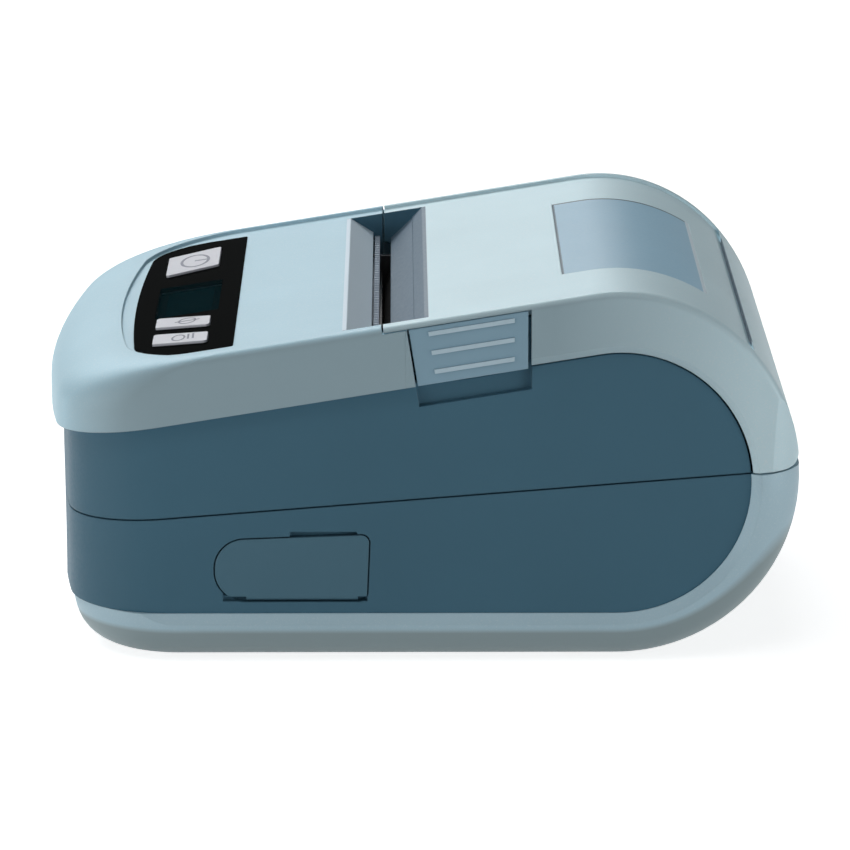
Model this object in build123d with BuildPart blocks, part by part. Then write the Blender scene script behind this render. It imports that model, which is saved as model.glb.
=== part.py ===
from build123d import *
import math
import os

os.makedirs("parts", exist_ok=True)

# Portable thermal printer: X runs from the display end to the hinge, Y across, Z up from the table.

# Overall form: a rounded rear end round the paper roll, a deck that slopes down to the front
BODY_LENGTH = 136.6
BODY_WIDTH = 108.0
PAD_PROUD = 0.4
LOWER_RADIUS = 32.8
TOP_RISE = 35.3
ARC_SHIFT = 0.4
DECK_SLOPE = 0.162
HOOP_ROUND = 8.0
FRONT_BOW = 250.0
FRONT_CORNER = 19.5

HALF_WIDTH = BODY_WIDTH / 2
FRONT_X = -BODY_LENGTH / 2
REAR_X = BODY_LENGTH / 2
AXIS_X = REAR_X - LOWER_RADIUS
AXIS_Z = PAD_PROUD + LOWER_RADIUS
ARC_X = AXIS_X + ARC_SHIFT
BAY_X = AXIS_X - LOWER_RADIUS
DECK_TILT = math.atan(DECK_SLOPE)
DECK_COS = math.cos(DECK_TILT)
DECK_SIN = math.sin(DECK_TILT)
FAR = BODY_LENGTH + BODY_WIDTH
FAR_FRONT = FRONT_X - 10

# Housing walls and the steps between the light hoop and the slate panels
SKIN = 1.5
CASE_WALL = 1.9
PANEL_RECESS = 1.5
REAR_BAND = 9.0
TOP_BAND = 11.3
BASE_SETBACK = 2.9
CASE_SETBACK = 2.1
WAIST_RADIUS = 260.0
WAIST_HEIGHT = 15.4
WAIST_DEPTH = 1.4
LIP_BEVEL_OUT = 1.2
LIP_BEVEL_DOWN = 1.9
SEAM_RISE = 0.02
SEAM_SLOPE = 0.0795
SEAM_GROOVE = 0.3
SEAM_GROOVE_DEPTH = 0.9

PANEL_RADIUS = LOWER_RADIUS - REAR_BAND
PANEL_RISE = TOP_RISE - TOP_BAND
PANEL_BOTTOM = AXIS_Z - PANEL_RADIUS
FLOOR = PAD_PROUD + SKIN
FLOOR_TOP = FLOOR + CASE_WALL

# Clearances: between fixed pieces, between a moving piece and what it passes, and in a bearing
PART_GAP = 0.2
MOVING_GAP = 0.3
RUNNING_FIT = 0.05


def reach_of(lower):
    """Half axis of the top arc along the length, for an outline whose rear arc has this radius."""
    return lower - ARC_SHIFT


def deck_rise(lower, rise):
    """Height of a deck line above the axis, taken at the top arc's centre."""
    return math.hypot(reach_of(lower) * DECK_SLOPE, rise)


def deck_z(x, lower=LOWER_RADIUS, rise=TOP_RISE):
    return AXIS_Z + deck_rise(lower, rise) + DECK_SLOPE * (x - ARC_X)


def panel_z(x):
    """Height of the line where the slate panels end under the covers."""
    return deck_z(x, PANEL_RADIUS, PANEL_RISE)


def seam_z(x):
    return AXIS_Z + SEAM_RISE + SEAM_SLOPE * (x - AXIS_X)


BAND_DEPTH = (deck_z(0) - panel_z(0)) * DECK_COS
DECK_PLANE = Plane(origin=(0, 0, deck_z(0)), x_dir=(1, 0, DECK_SLOPE), z_dir=(-DECK_SLOPE, 0, 1))
SEAM_PLANE = Plane(origin=(0, 0, seam_z(0)), x_dir=(1, 0, SEAM_SLOPE), z_dir=(-SEAM_SLOPE, 0, 1))
LID_SEAM = SEAM_PLANE.offset(SEAM_GROOVE)

# Front cover: elliptical shoulder, ridge, rim and recessed deck
SHOULDER_REACH = 12.0
SHOULDER_DROP = 7.0
RIDGE_LEAN = 0.9
RIDGE_ROUND = 1.3
DECK_RECESS = 0.6
RIM_SETBACK = 13.1
RIM_WIDTH = 3.2
RIM_CORNER = 19.5
COVER_WALL = 2.4
COVER_TOP = 3.0
RECESS_HALF = HALF_WIDTH - RIM_WIDTH

# Paper exit: a V-shaped trough whose front wall belongs to the front cover and the rear one to the lid
TEAR_AHEAD = 9.4
FRONT_SLOPE_RUN = 7.0
REAR_SLOPE_RUN = 8.4
TROUGH_DEPTH = 5.5
TROUGH_MARGIN = 6.7
TROUGH_WALL = 1.8
SLIT = 1.6
BLADE_THICK = 1.0
BLADE_SLIT = 0.5
BLADE_RAISE = 0.5
BLADE_PITCH = 2.0
BLADE_NOTCH = 0.8

TEAR_X = BAY_X - TEAR_AHEAD
TROUGH_FRONT = TEAR_X - FRONT_SLOPE_RUN
TROUGH_BACK = TEAR_X + REAR_SLOPE_RUN
TROUGH_HALF = HALF_WIDTH - TROUGH_MARGIN
TROUGH_FLOOR = deck_z(TEAR_X) - TROUGH_DEPTH
BLADE_REAR = TEAR_X - BLADE_SLIT
BLADE_FRONT = BLADE_REAR - BLADE_THICK
WALL_END = BLADE_FRONT - MOVING_GAP
WALL_END_Z = TROUGH_FLOOR + 1.12
FRONT_FALL = math.atan2(deck_z(TROUGH_FRONT) - WALL_END_Z, WALL_END - TROUGH_FRONT)
REAR_CLIMB = math.atan2(deck_z(TROUGH_BACK) - TROUGH_FLOOR, TROUGH_BACK - TEAR_X - SLIT)

# Latches: a sliding plate in the band, guided by a wall that carries it
LATCH_BEHIND = 4.7
LATCH_LENGTH = 21.3
LATCH_GAP = 0.4
LATCH_BACK_GAP = 0.7
LATCH_PLATE = 2.5
LATCH_TOP = 1.1
LATCH_INSET = 0.3
LATCH_TRAVEL = 3.0
LATCH_WALL = 1.9
LATCH_RIBS = (2.3, 5.7, 9.1)
RIB_THICK = 0.8
RIB_PROUD = 0.3
LIP_THICKNESS = 0.9
GRIP_DEPTH = 4.1
LID_BEHIND_LATCH = 0.6
HOOK_BEHIND = 10.5
HOOK_WIDTH = 6.0
HOOK_THICK = 1.1
HOOK_DEPTH = 4.1
SHOE_WIDTH = 10.0
SHOE_HEIGHT = 4.7
SHOE_THICK = 1.0
STEM_WIDTH = 7.0
STEM_HEIGHT = 3.5
STEM_INSET = 0.6

LATCH_FRONT = TEAR_X + LATCH_BEHIND
LATCH_BACK = LATCH_FRONT + LATCH_LENGTH
LATCH_INNER = HALF_WIDTH - LATCH_PLATE
CARRIER_OUTER = LATCH_INNER - MOVING_GAP
CARRIER_INNER = CARRIER_OUTER - LATCH_WALL
SHOE_OUTER = CARRIER_INNER - MOVING_GAP
HOOK_X = LATCH_FRONT + HOOK_BEHIND
SHOE_TOP = HOOK_DEPTH + MOVING_GAP
STEM_TOP = SHOE_TOP + STEM_INSET

# Lid, its window and its rear hinge
LID_WALL = 2.2
LID_SIDE_WALL = 2.4
PANEL_GAP = 0.35
LID_CORNER = 8.0
LID_RIB_Y = 37.0
LID_RIB_THICK = 1.4
LID_RIB_DEPTH = 4.6
LID_RIB_AHEAD = 11.5
LID_RIB_BEHIND = 22.5
CREASE_SETBACK = 8.7
HINGE_ROUND = 2.0
BARREL_RISE = 0.1
EAR_INNER = 30.0
EAR_OUTER = 34.0
BARREL_END = 38.0
PIN_RADIUS = 1.0
WINDOW_AHEAD = 9.45
WINDOW_BEHIND = 16.8
WINDOW_HALF = 30.4
WINDOW_THICK = 1.2
WINDOW_SEAT = 1.5
WINDOW_FRAME = 1.6

LID_FRONT = TEAR_X + MOVING_GAP
LID_END = LATCH_BACK + LID_BEHIND_LATCH
LID_INNER_HALF = HALF_WIDTH - LID_SIDE_WALL
CREASE_X = REAR_X - CREASE_SETBACK
HINGE_X = REAR_X - MOVING_GAP - HINGE_ROUND
HINGE_Z = seam_z(HINGE_X) + SEAM_GROOVE + BARREL_RISE + HINGE_ROUND
HINGE_ROOM = HINGE_ROUND + 1.1
WINDOW_FRONT = AXIS_X - WINDOW_AHEAD
WINDOW_REAR = AXIS_X + WINDOW_BEHIND

# Display panel, its lens and the keys, with the board under them
PANEL_SETBACK = 15.6
PANEL_LENGTH = 19.4
PANEL_MARGIN = 8.3
PANEL_CORNER = 11.0
PANEL_BOW = 500.0
PANEL_TOP = 0.5
PANEL_SEAT = 1.4
LENS_FRONT_MARGIN = 4.0
LENS_REAR_MARGIN = 3.7
LENS_LOW = -14.5
LENS_HIGH = 10.4
KEY_FRONT_MARGIN = 4.6
KEY_REAR_MARGIN = 4.8
KEY_TOP = 0.1
KEY_ROUND = 0.6
KEY_GAP = 0.15
KEY_HEIGHT = 3.1
KEY_FLANGE = 0.8
KEY_FLANGE_THICK = 0.5
STEM_RADIUS = 1.4
POWER_KEY = (19.25, 34.8, 22.5, 38.2)
FUNCTION_KEY = (-23.7, -16.4, -27.2, -20.4)
FEED_KEY = (-36.5, -29.1, -40.0, -33.1)
KEYS = (POWER_KEY, FUNCTION_KEY, FEED_KEY)
KEYPAD_DEPTH = 7.2
KEYPAD_THICK = 1.2
SWITCH_TOP = 6.0

PANEL_FRONT = FRONT_X + PANEL_SETBACK
PANEL_REAR = PANEL_FRONT + PANEL_LENGTH
PANEL_HALF = HALF_WIDTH - PANEL_MARGIN
PANEL_MIDDLE = (PANEL_FRONT + PANEL_REAR) / 2
LENS_FRONT = PANEL_FRONT + LENS_FRONT_MARGIN
LENS_REAR = PANEL_REAR - LENS_REAR_MARGIN
KEY_FRONT = PANEL_FRONT + KEY_FRONT_MARGIN
KEY_REAR = PANEL_REAR - KEY_REAR_MARGIN
KEY_MIDDLE = (KEY_FRONT + KEY_REAR) / 2
FLANGE_TOP = KEY_TOP + KEY_HEIGHT

# Roll cradle, which fills the round rear end of the case
CRADLE_WALL = 1.5
CRADLE_ROOM = 0.9
CRADLE_LIP = 8.8
CRADLE_RIM = 0.6
CHEEK_DROP = 4.0
ROLL_RADIUS = LOWER_RADIUS - SKIN - CASE_WALL - CRADLE_ROOM - CRADLE_WALL
CRADLE_RADIUS = ROLL_RADIUS + CRADLE_WALL
CRADLE_FRONT = AXIS_X - CRADLE_RADIUS

# Platen and print mechanism, hung from the paper exit and as wide as the case allows
SIDE_ROOM = 10.0
SIDE_PLATE = 1.4
BEAM = 1.5
PLATEN_BEHIND = 6.3
PLATEN_DEPTH = 15.6
PLATEN_RADIUS = 6.0
PLATEN_END_GAP = 2.4
SHAFT_RADIUS = 2.5
SHAFT_END = 0.6
BUSH_RADIUS = 4.0
BUSH_SPIGOT = 3.4
EAR_THICK = 1.8
EAR_RADIUS = 4.6
PAPER_GAP = 0.15
HEATER_LINE = 0.15
HEATER_THICK = 0.8
SINK_THICK = 3.0
SPRING_ROOM = 2.0
LEAF = 0.4
FRAME_HEIGHT = 30.0
FRAME_ABOVE = 6.6
BEAM_ABOVE = 5.2
HEAD_END_GAP = 1.6

PLATE_OUTER = HALF_WIDTH - SIDE_ROOM
PLATE_INNER = PLATE_OUTER - SIDE_PLATE
PLATEN_X = TEAR_X + PLATEN_BEHIND
PLATEN_Z = deck_z(PLATEN_X) - PLATEN_DEPTH
PLATEN_HALF = PLATE_INNER - PLATEN_END_GAP
HEAD_HALF = PLATE_INNER - HEAD_END_GAP
HEAD_FACE = PLATEN_X - PLATEN_RADIUS - PAPER_GAP
CERAMIC_FACE = HEAD_FACE - HEATER_LINE
SINK_FACE = CERAMIC_FACE - HEATER_THICK
SINK_FRONT = SINK_FACE - SINK_THICK
BEAM_FACE = SINK_FRONT - SPRING_ROOM
FRAME_FRONT = BEAM_FACE - BEAM
FRAME_REAR = CRADLE_FRONT - 0.5
FRAME_TOP = PLATEN_Z + FRAME_ABOVE
FRAME_FLOOR = FRAME_TOP - FRAME_HEIGHT
BEAM_TOP = PLATEN_Z + BEAM_ABOVE
CHEEK_OUTER = PLATE_INNER - 0.1
CRADLE_HALF = CHEEK_OUTER - CRADLE_WALL

# Gear train from the motor's pinion over the reduction gear to the platen
GEAR_MODULE = 0.6
PRESSURE_ANGLE = math.radians(20)
BACKLASH = 0.2
PLATEN_TEETH = 22
SMALL_TEETH = 14
LARGE_TEETH = 36
PINION_TEETH = 10
REDUCTION_LEAN = math.radians(8.9)
PINION_DROP = math.radians(36.9)
GEAR_GAP = 0.4
SMALL_FACE = 2.7
LARGE_FACE = 1.4
PLATEN_FACE = 1.8
PINION_FACE = 1.9
AXLE_RADIUS = 1.2
AXLE_HEAD = 2.2
MOTOR_RADIUS = 10.0
MOTOR_LENGTH = 15.6
MOTOR_SHAFT = 1.0
MOTOR_BOSS = 3.0
FLANGE_THICK = 1.0
FLANGE_HALF = 11.4
FLANGE_EAR = 3.5

FIRST_CENTRES = GEAR_MODULE * (PLATEN_TEETH + SMALL_TEETH) / 2
SECOND_CENTRES = GEAR_MODULE * (LARGE_TEETH + PINION_TEETH) / 2
REDUCTION_X = PLATEN_X - FIRST_CENTRES * math.sin(REDUCTION_LEAN)
REDUCTION_Z = PLATEN_Z - FIRST_CENTRES * math.cos(REDUCTION_LEAN)
PINION_X = REDUCTION_X - SECOND_CENTRES * math.cos(PINION_DROP)
PINION_Z = REDUCTION_Z - SECOND_CENTRES * math.sin(PINION_DROP)
MOTOR_INNER = PLATE_INNER - MOTOR_LENGTH
SMALL_START = PLATE_OUTER + GEAR_GAP
LARGE_START = SMALL_START + SMALL_FACE - 0.1
LARGE_END = LARGE_START + LARGE_FACE
AXLE_END = LARGE_END + MOVING_GAP

# Battery, its door and the main board above it
DOOR_SETBACK = 11.5
DOOR_BEHIND = 3.5
DOOR_HALF = 35.5
DOOR_LEDGE = 1.2
BATTERY_INSET = 1.6
BATTERY_SIDE = 1.9
BATTERY_HEIGHT = 18.8
BATTERY_ROUND = 3.0
DOOR_LINER = 0.7
MAIN_SETBACK = 8.8
MAIN_BEHIND = 0.9
MAIN_HALF = 32.0
MAIN_ABOVE = 3.0
BOARD_THICK = 1.6

DOOR_FRONT = FRONT_X + DOOR_SETBACK
DOOR_REAR = PINION_X - MOTOR_RADIUS - DOOR_BEHIND
BATTERY_FRONT = DOOR_FRONT + BATTERY_INSET
BATTERY_REAR = DOOR_REAR - BATTERY_INSET
BATTERY_HALF = DOOR_HALF - BATTERY_SIDE
BATTERY_BOTTOM = FLOOR + DOOR_LINER
BATTERY_TOP = BATTERY_BOTTOM + BATTERY_HEIGHT
MAIN_FRONT = FRONT_X + MAIN_SETBACK
MAIN_REAR = PINION_X - MOTOR_RADIUS - MAIN_BEHIND
MAIN_Z = BATTERY_TOP + MAIN_ABOVE
MAIN_TOP = MAIN_Z + BOARD_THICK

# Screws that join the cases from below, the bosses they run in and the rubber feet
SCREW_HEAD = 2.0
SCREW_HEAD_HEIGHT = 1.1
SCREW_SHANK = 1.0
SCREW_LENGTH = 18.0
SCREW_SINK = 0.1
BOSS_RADIUS = 2.7
BOSS_TOP = 12.0
PAD_RADIUS = 4.0
PAD_SET = 0.6
PAD_EDGE = 0.3

SCREW_FRONT_X = FRONT_X + 17.8
SCREW_REAR_X = AXIS_X - 7.5
SCREW_FRONT_Y = HALF_WIDTH - 13.5
SCREW_REAR_Y = CHEEK_OUTER + BOSS_RADIUS + PART_GAP
SCREW_SPOTS = (
    (SCREW_FRONT_X, -SCREW_FRONT_Y), (SCREW_FRONT_X, SCREW_FRONT_Y),
    (SCREW_REAR_X, -SCREW_REAR_Y), (SCREW_REAR_X, SCREW_REAR_Y),
)
PAD_FRONT_X = FRONT_X + 30.3
PAD_REAR_X = AXIS_X - 4.5
PAD_FRONT_Y = HALF_WIDTH - 13.0
PAD_REAR_Y = HALF_WIDTH - 18.0
PAD_SPOTS = (
    (PAD_FRONT_X, -PAD_FRONT_Y), (PAD_FRONT_X, PAD_FRONT_Y),
    (PAD_REAR_X, -PAD_REAR_Y), (PAD_REAR_X, PAD_REAR_Y),
)
FRAME_POST = 2.4
FRAME_SPOTS = (
    (FRAME_FRONT + 3.0, -PLATE_INNER + 6.6), (FRAME_REAR - 3.0, -PLATE_INNER + 6.6),
    (FRAME_REAR - 3.0, PLATE_INNER - 6.6),
)

# Socket flap on the near side panel, and the two sockets behind it
FLAP_SETBACK = 31.7
FLAP_LENGTH = 27.2
FLAP_ABOVE = 2.3
FLAP_HEIGHT_FRONT = 11.2
FLAP_HEIGHT_REAR = 12.2
FLAP_FLARE = 0.5
FLAP_THICK = 1.6
FLAP_GAP = 0.25
FLAP_ROUND = 0.8
FLAP_PIN = 0.35
FLAP_FRONT_CORNER = 5.4
FLAP_REAR_CORNER = 1.4
THUMB_LENGTH = 12.0
THUMB_REAR = 1.7
POCKET_WALL = 1.4
SOCKET_BOARD_Z = 13.0
SOCKET_BOARD_THICK = 1.4
SOCKET_BOARD_WIDTH = 10.5
USB_WIDTH = 8.2
USB_HEIGHT = 4.4
USB_LENGTH = 6.3
USB_WALL = 0.7
POWER_WIDTH = 9.2
POWER_HEIGHT = 7.3
POWER_LENGTH = 7.7
POWER_HOLE = 3.0
POWER_PIN = 0.9

FLAP_OUTER = HALF_WIDTH - PANEL_RECESS
FLAP_INNER = FLAP_OUTER - FLAP_THICK
POCKET_INNER = FLAP_INNER - POCKET_WALL
SOCKET_FACE = POCKET_INNER - PART_GAP
FLAP_FRONT = FRONT_X + FLAP_SETBACK
FLAP_REAR = FLAP_FRONT + FLAP_LENGTH
FLAP_BOTTOM = PANEL_BOTTOM + FLAP_ABOVE
FLAP_TOP = FLAP_BOTTOM + FLAP_HEIGHT_REAR
FLAP_HINGE_Y = -FLAP_OUTER + FLAP_ROUND
FLAP_HINGE_Z = FLAP_BOTTOM + FLAP_ROUND
FLAP_PIN_START = FLAP_FRONT + 1.1
FLAP_PIN_END = FLAP_REAR + 1.9
FLAP_BARREL_START = FLAP_FRONT + FLAP_FRONT_CORNER + 0.2
FLAP_BARREL_END = FLAP_REAR - FLAP_REAR_CORNER - 0.2
SOCKET_TOP = SOCKET_BOARD_Z + SOCKET_BOARD_THICK
USB_X = FLAP_REAR - 7.1
POWER_X = FLAP_REAR - 18.6
POWER_Z = SOCKET_TOP + 3.7


def along_deck(x, depth):
    """Distance along the deck plane, at this depth below it, of the point above x."""
    return (x - depth * DECK_SIN) / DECK_COS


def side_profile(lower, rise, front=FAR_FRONT):
    """Outline seen from the side: flat bottom, rear arc, top arc and the deck line tangent to it."""
    reach = reach_of(lower)
    height = deck_rise(lower, rise)
    tangent = (ARC_X - reach ** 2 * DECK_SLOPE / height, AXIS_Z + rise ** 2 / height)
    turn = 90 + math.degrees(math.atan(DECK_SLOPE * reach / rise))
    bottom = AXIS_Z - lower
    with BuildSketch(Plane.XZ) as sketch:
        with BuildLine():
            Line((front, bottom), (AXIS_X, bottom))
            CenterArc((AXIS_X, AXIS_Z), lower, -90, 90)
            EllipticalCenterArc((ARC_X, AXIS_Z), reach, rise, 0, arc_size=turn)
            Line(tangent, (front, deck_z(front, lower, rise)))
            Line((front, deck_z(front, lower, rise)), (front, bottom))
        make_face()
    return sketch.sketch


def plan_profile(half_width, front, front_corner, rear=REAR_X, rear_corner=0.0, bow=FRONT_BOW):
    """Outline seen from above: bowed front, rounded corners, straight sides."""
    sag = half_width ** 2 / (2 * bow)
    with BuildSketch() as sketch:
        with BuildLine():
            ThreePointArc((front + sag, -half_width), (front, 0), (front + sag, half_width))
            Line((front + sag, half_width), (rear, half_width))
            Line((rear, half_width), (rear, -half_width))
            Line((rear, -half_width), (front + sag, -half_width))
        make_face()
        fillet(sketch.vertices().group_by(Axis.X)[0], front_corner)
        if rear_corner:
            fillet(sketch.vertices().group_by(Axis.X)[-1], rear_corner)
    return sketch.sketch


def lower_volume(inset, setback):
    """The body below the seam, with its underside rounded into the sides and up the rear."""
    half = HALF_WIDTH - inset
    outline = plan_profile(half, FRONT_X + setback, FRONT_CORNER - inset)
    with BuildPart() as volume:
        extrude(side_profile(LOWER_RADIUS - inset, TOP_RISE - inset), amount=half, both=True)
        extrude(outline, amount=BODY_LENGTH, mode=Mode.INTERSECT)
        split(bisect_by=SEAM_PLANE, keep=Keep.BOTTOM)
        flat = volume.faces().sort_by(Axis.Z)[0]
        rim = [e for e in flat.edges() if e.center().X < AXIS_X - 0.5]
        for side in volume.faces().filter_by(Axis.Y):
            rim += [
                e for e in side.edges()
                if e.center().X > AXIS_X and e.geom_type != GeomType.LINE
            ]
        fillet(rim, HOOP_ROUND - inset)
    return volume.part


def panel_volume(inset):
    """The slate body's upright walls at full height, with the shallow waist across its front."""
    half = HALF_WIDTH - PANEL_RECESS - inset
    front = FRONT_X + CASE_SETBACK + inset
    outline = plan_profile(half, front, FRONT_CORNER - PANEL_RECESS - inset)
    with BuildPart() as volume:
        extrude(side_profile(PANEL_RADIUS - inset, PANEL_RISE - inset), amount=half, both=True)
        extrude(outline, amount=BODY_LENGTH, mode=Mode.INTERSECT)
        with BuildSketch(Plane.XZ):
            with Locations((front + WAIST_DEPTH - WAIST_RADIUS, WAIST_HEIGHT)):
                Circle(WAIST_RADIUS)
        extrude(amount=HALF_WIDTH, both=True, mode=Mode.SUBTRACT)
    return volume.part


def cover_outline(depth, shoulder, inset, back):
    """One outline of the front cover, on the plane this deep under the deck."""
    turn = min(depth, RIDGE_ROUND) / RIDGE_ROUND
    ridge = RIDGE_ROUND * (1 - math.sqrt(1 - (1 - turn) ** 2))
    lean = RIDGE_LEAN * (1 - depth / BAND_DEPTH)
    front = along_deck(FRONT_X + shoulder + inset, depth)
    rear = along_deck(back, depth)
    half = HALF_WIDTH - lean - ridge - inset
    return DECK_PLANE.offset(-depth) * plan_profile(half, front, FRONT_CORNER - inset, rear)


def cover_volume(inset, top, back):
    """The front cover's form: an elliptical shoulder down to the band, then the straight band."""
    with BuildPart() as volume:
        for angle in (0, 15, 30, 45, 60, 75, 90):
            turn = math.radians(angle)
            depth = top + (SHOULDER_DROP - top) * (1 - math.cos(turn))
            add(cover_outline(depth, SHOULDER_REACH * (1 - math.sin(turn)), inset, back))
        loft()
        add(cover_outline(SHOULDER_DROP, 0, inset, back))
        add(cover_outline(BAND_DEPTH, 0, inset, back))
        loft(ruled=True)
    return volume.part


def deck_point(x, depth):
    """Point this deep under the deck, measured square to it from the deck point at x."""
    return (x + depth * DECK_SIN, deck_z(x) - depth * DECK_COS)


def block(x0, x1, y0, y1, z0, z1, mode=Mode.ADD):
    with Locations(((x0 + x1) / 2, (y0 + y1) / 2, (z0 + z1) / 2)):
        Box(x1 - x0, y1 - y0, z1 - z0, mode=mode)


def rod(x, z, radius, y0, y1, mode=Mode.ADD):
    """Cylinder lying across the body."""
    with Locations(Location((x, (y0 + y1) / 2, z), (90, 0, 0))):
        Cylinder(radius, y1 - y0, mode=mode)


def lengthwise_rod(y, z, radius, x0, x1, mode=Mode.ADD):
    """Cylinder lying along the body."""
    with Locations(Location(((x0 + x1) / 2, y, z), (0, 90, 0))):
        Cylinder(radius, x1 - x0, mode=mode)


def post(x, y, radius, z0, z1, mode=Mode.ADD):
    with Locations((x, y, (z0 + z1) / 2)):
        Cylinder(radius, z1 - z0, mode=mode)


def prism(points, y0, y1, mode=Mode.ADD):
    """Side outline given as x, z points, between two positions across the body."""
    start = Plane(origin=(0, y0, 0), x_dir=(1, 0, 0), z_dir=(0, -1, 0))
    with BuildSketch(start, mode=Mode.PRIVATE) as sketch:
        with BuildLine():
            Polyline(*points, close=True)
        make_face()
    extrude(sketch.sketch, amount=y0 - y1, mode=mode)


def deck_prism(x0, x1, top, bottom, y0, y1, mode=Mode.ADD):
    """Block whose faces are square and parallel to the deck."""
    corners = [deck_point(x0, top), deck_point(x1, top), deck_point(x1, bottom), deck_point(x0, bottom)]
    prism(corners, y0, y1, mode)


def band_prism(x0, x1, top, bottom, y0, y1, mode=Mode.ADD):
    """Block parallel to the deck, with its front end square to it and its rear end upright."""
    corners = [
        deck_point(x0, top), (x1, deck_z(x1) - top / DECK_COS),
        (x1, deck_z(x1) - bottom / DECK_COS), deck_point(x0, bottom),
    ]
    prism(corners, y0, y1, mode)


def deck_rod(x, y, radius, top, bottom, mode=Mode.ADD):
    """Cylinder standing square to the deck."""
    with BuildSketch(DECK_PLANE.offset(-top), mode=Mode.PRIVATE) as sketch:
        with Locations((along_deck(x, 0), y)):
            Circle(radius)
    extrude(sketch.sketch, amount=top - bottom, mode=mode)


def deck_plate(outline, top, bottom, mode=Mode.ADD):
    """Outline seen along the deck's normal, between two depths."""
    extrude(DECK_PLANE.offset(-top) * outline, amount=top - bottom, mode=mode)


def key_outline(front_low, front_high, rear_low, rear_high, gap=0.0):
    """Slanted key cap: its two ends at the panel's front and at its rear."""
    front = along_deck(KEY_FRONT, 0)
    rear = along_deck(KEY_REAR, 0)
    with BuildSketch(mode=Mode.PRIVATE) as sketch:
        with BuildLine():
            Polyline((front, front_low), (front, front_high), (rear, rear_high), (rear, rear_low), close=True)
        make_face()
        fillet(sketch.vertices(), KEY_ROUND)
        if gap:
            offset(amount=gap)
    return sketch.sketch


def key_part(front_low, front_high, rear_low, rear_high):
    """Key cap with its retaining flange and the stem that meets the switch."""
    middle = (front_low + front_high + rear_low + rear_high) / 4
    with BuildPart() as key:
        deck_plate(key_outline(front_low, front_high, rear_low, rear_high), KEY_TOP, FLANGE_TOP)
        deck_plate(
            key_outline(front_low, front_high, rear_low, rear_high, KEY_FLANGE),
            FLANGE_TOP, FLANGE_TOP + KEY_FLANGE_THICK,
        )
        deck_rod(KEY_MIDDLE, middle, STEM_RADIUS, FLANGE_TOP + 0.4, FLANGE_TOP + 1.4)
    return key.part


def gear_outline(teeth, x, z, toward):
    """Involute gear outline in the x, z plane with one tooth pointing at the angle given."""
    pitch = GEAR_MODULE * teeth / 2
    base = pitch * math.cos(PRESSURE_ANGLE)
    root = pitch - 1.15 * GEAR_MODULE
    tip = pitch + 0.8 * GEAR_MODULE
    reference = math.tan(PRESSURE_ANGLE) - PRESSURE_ANGLE
    points = []
    for tooth in range(teeth):
        centre = toward + 2 * math.pi * tooth / teeth
        flank = []
        for radius in (root, pitch - 0.45 * GEAR_MODULE, pitch, tip):
            angle = math.acos(min(1.0, base / radius))
            spread = reference - (math.tan(angle) - angle)
            half = math.pi / (2 * teeth) + spread - BACKLASH / (4 * pitch)
            flank.append((radius, half))
        for radius, half in flank:
            points.append((x + radius * math.cos(centre - half), z + radius * math.sin(centre - half)))
        for radius, half in reversed(flank):
            points.append((x + radius * math.cos(centre + half), z + radius * math.sin(centre + half)))
    return points


def bearing(x0, z0, x1, z1):
    """Angle in the x, z plane from the first point to the second."""
    return math.atan2(z1 - z0, x1 - x0)


def span(side, inner, outer):
    """Two distances from the middle, put in order on the side given as -1 or 1."""
    return sorted((side * inner, side * outer))


def latch_part(side):
    """Latch plate of one side, with its ribs, its stem and its shoe behind the carrier wall."""
    foot = deck_point(LATCH_FRONT, 0)
    along = Plane(origin=(foot[0], 0, foot[1]), x_dir=(0, 1, 0), z_dir=(DECK_COS, 0, DECK_SIN))
    bottom = HALF_WIDTH - LATCH_INSET
    top = bottom - RIDGE_LEAN * (1 - LATCH_TOP / BAND_DEPTH)
    section = [
        (side * LATCH_INNER, -LATCH_TOP), (side * top, -LATCH_TOP),
        (side * bottom, -BAND_DEPTH), (side * LATCH_INNER, -BAND_DEPTH),
    ]
    with BuildPart() as latch:
        with BuildSketch(along) as plate:
            with BuildLine():
                Polyline(*section, close=True)
            make_face()
        extrude(amount=LATCH_LENGTH + BAND_DEPTH)
        band_prism(LATCH_FRONT - 1, LATCH_BACK, 0, BAND_DEPTH + 1, *span(side, 0, HALF_WIDTH), Mode.INTERSECT)
        for level in LATCH_RIBS:
            face = bottom - RIDGE_LEAN * (1 - level / BAND_DEPTH)
            band_prism(
                LATCH_FRONT + 3.3, LATCH_BACK - 2.4, level - RIB_THICK / 2, level + RIB_THICK / 2,
                *span(side, face - 0.4, face + RIB_PROUD),
            )
        deck_prism(
            HOOK_X - STEM_WIDTH / 2, HOOK_X + STEM_WIDTH / 2, STEM_TOP, STEM_TOP + STEM_HEIGHT,
            *span(side, SHOE_OUTER - 0.1, LATCH_INNER + 0.2),
        )
        deck_prism(
            HOOK_X - SHOE_WIDTH / 2, HOOK_X + SHOE_WIDTH / 2, SHOE_TOP, SHOE_TOP + SHOE_HEIGHT,
            *span(side, SHOE_OUTER - SHOE_THICK, SHOE_OUTER),
        )
    return latch.part


def screw_part(x, y):
    """Pan-headed screw driven upward, with a cross slot in its head."""
    head = PAD_PROUD + SCREW_SINK
    neck = head + SCREW_HEAD_HEIGHT
    with BuildPart() as screw:
        post(x, y, SCREW_HEAD, head, neck)
        post(x, y, SCREW_SHANK, neck, neck + SCREW_LENGTH)
        block(x - 1.3, x + 1.3, y - 0.22, y + 0.22, head - 0.1, head + 0.5, mode=Mode.SUBTRACT)
        block(x - 0.22, x + 0.22, y - 1.3, y + 1.3, head - 0.1, head + 0.5, mode=Mode.SUBTRACT)
    return screw.part


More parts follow.
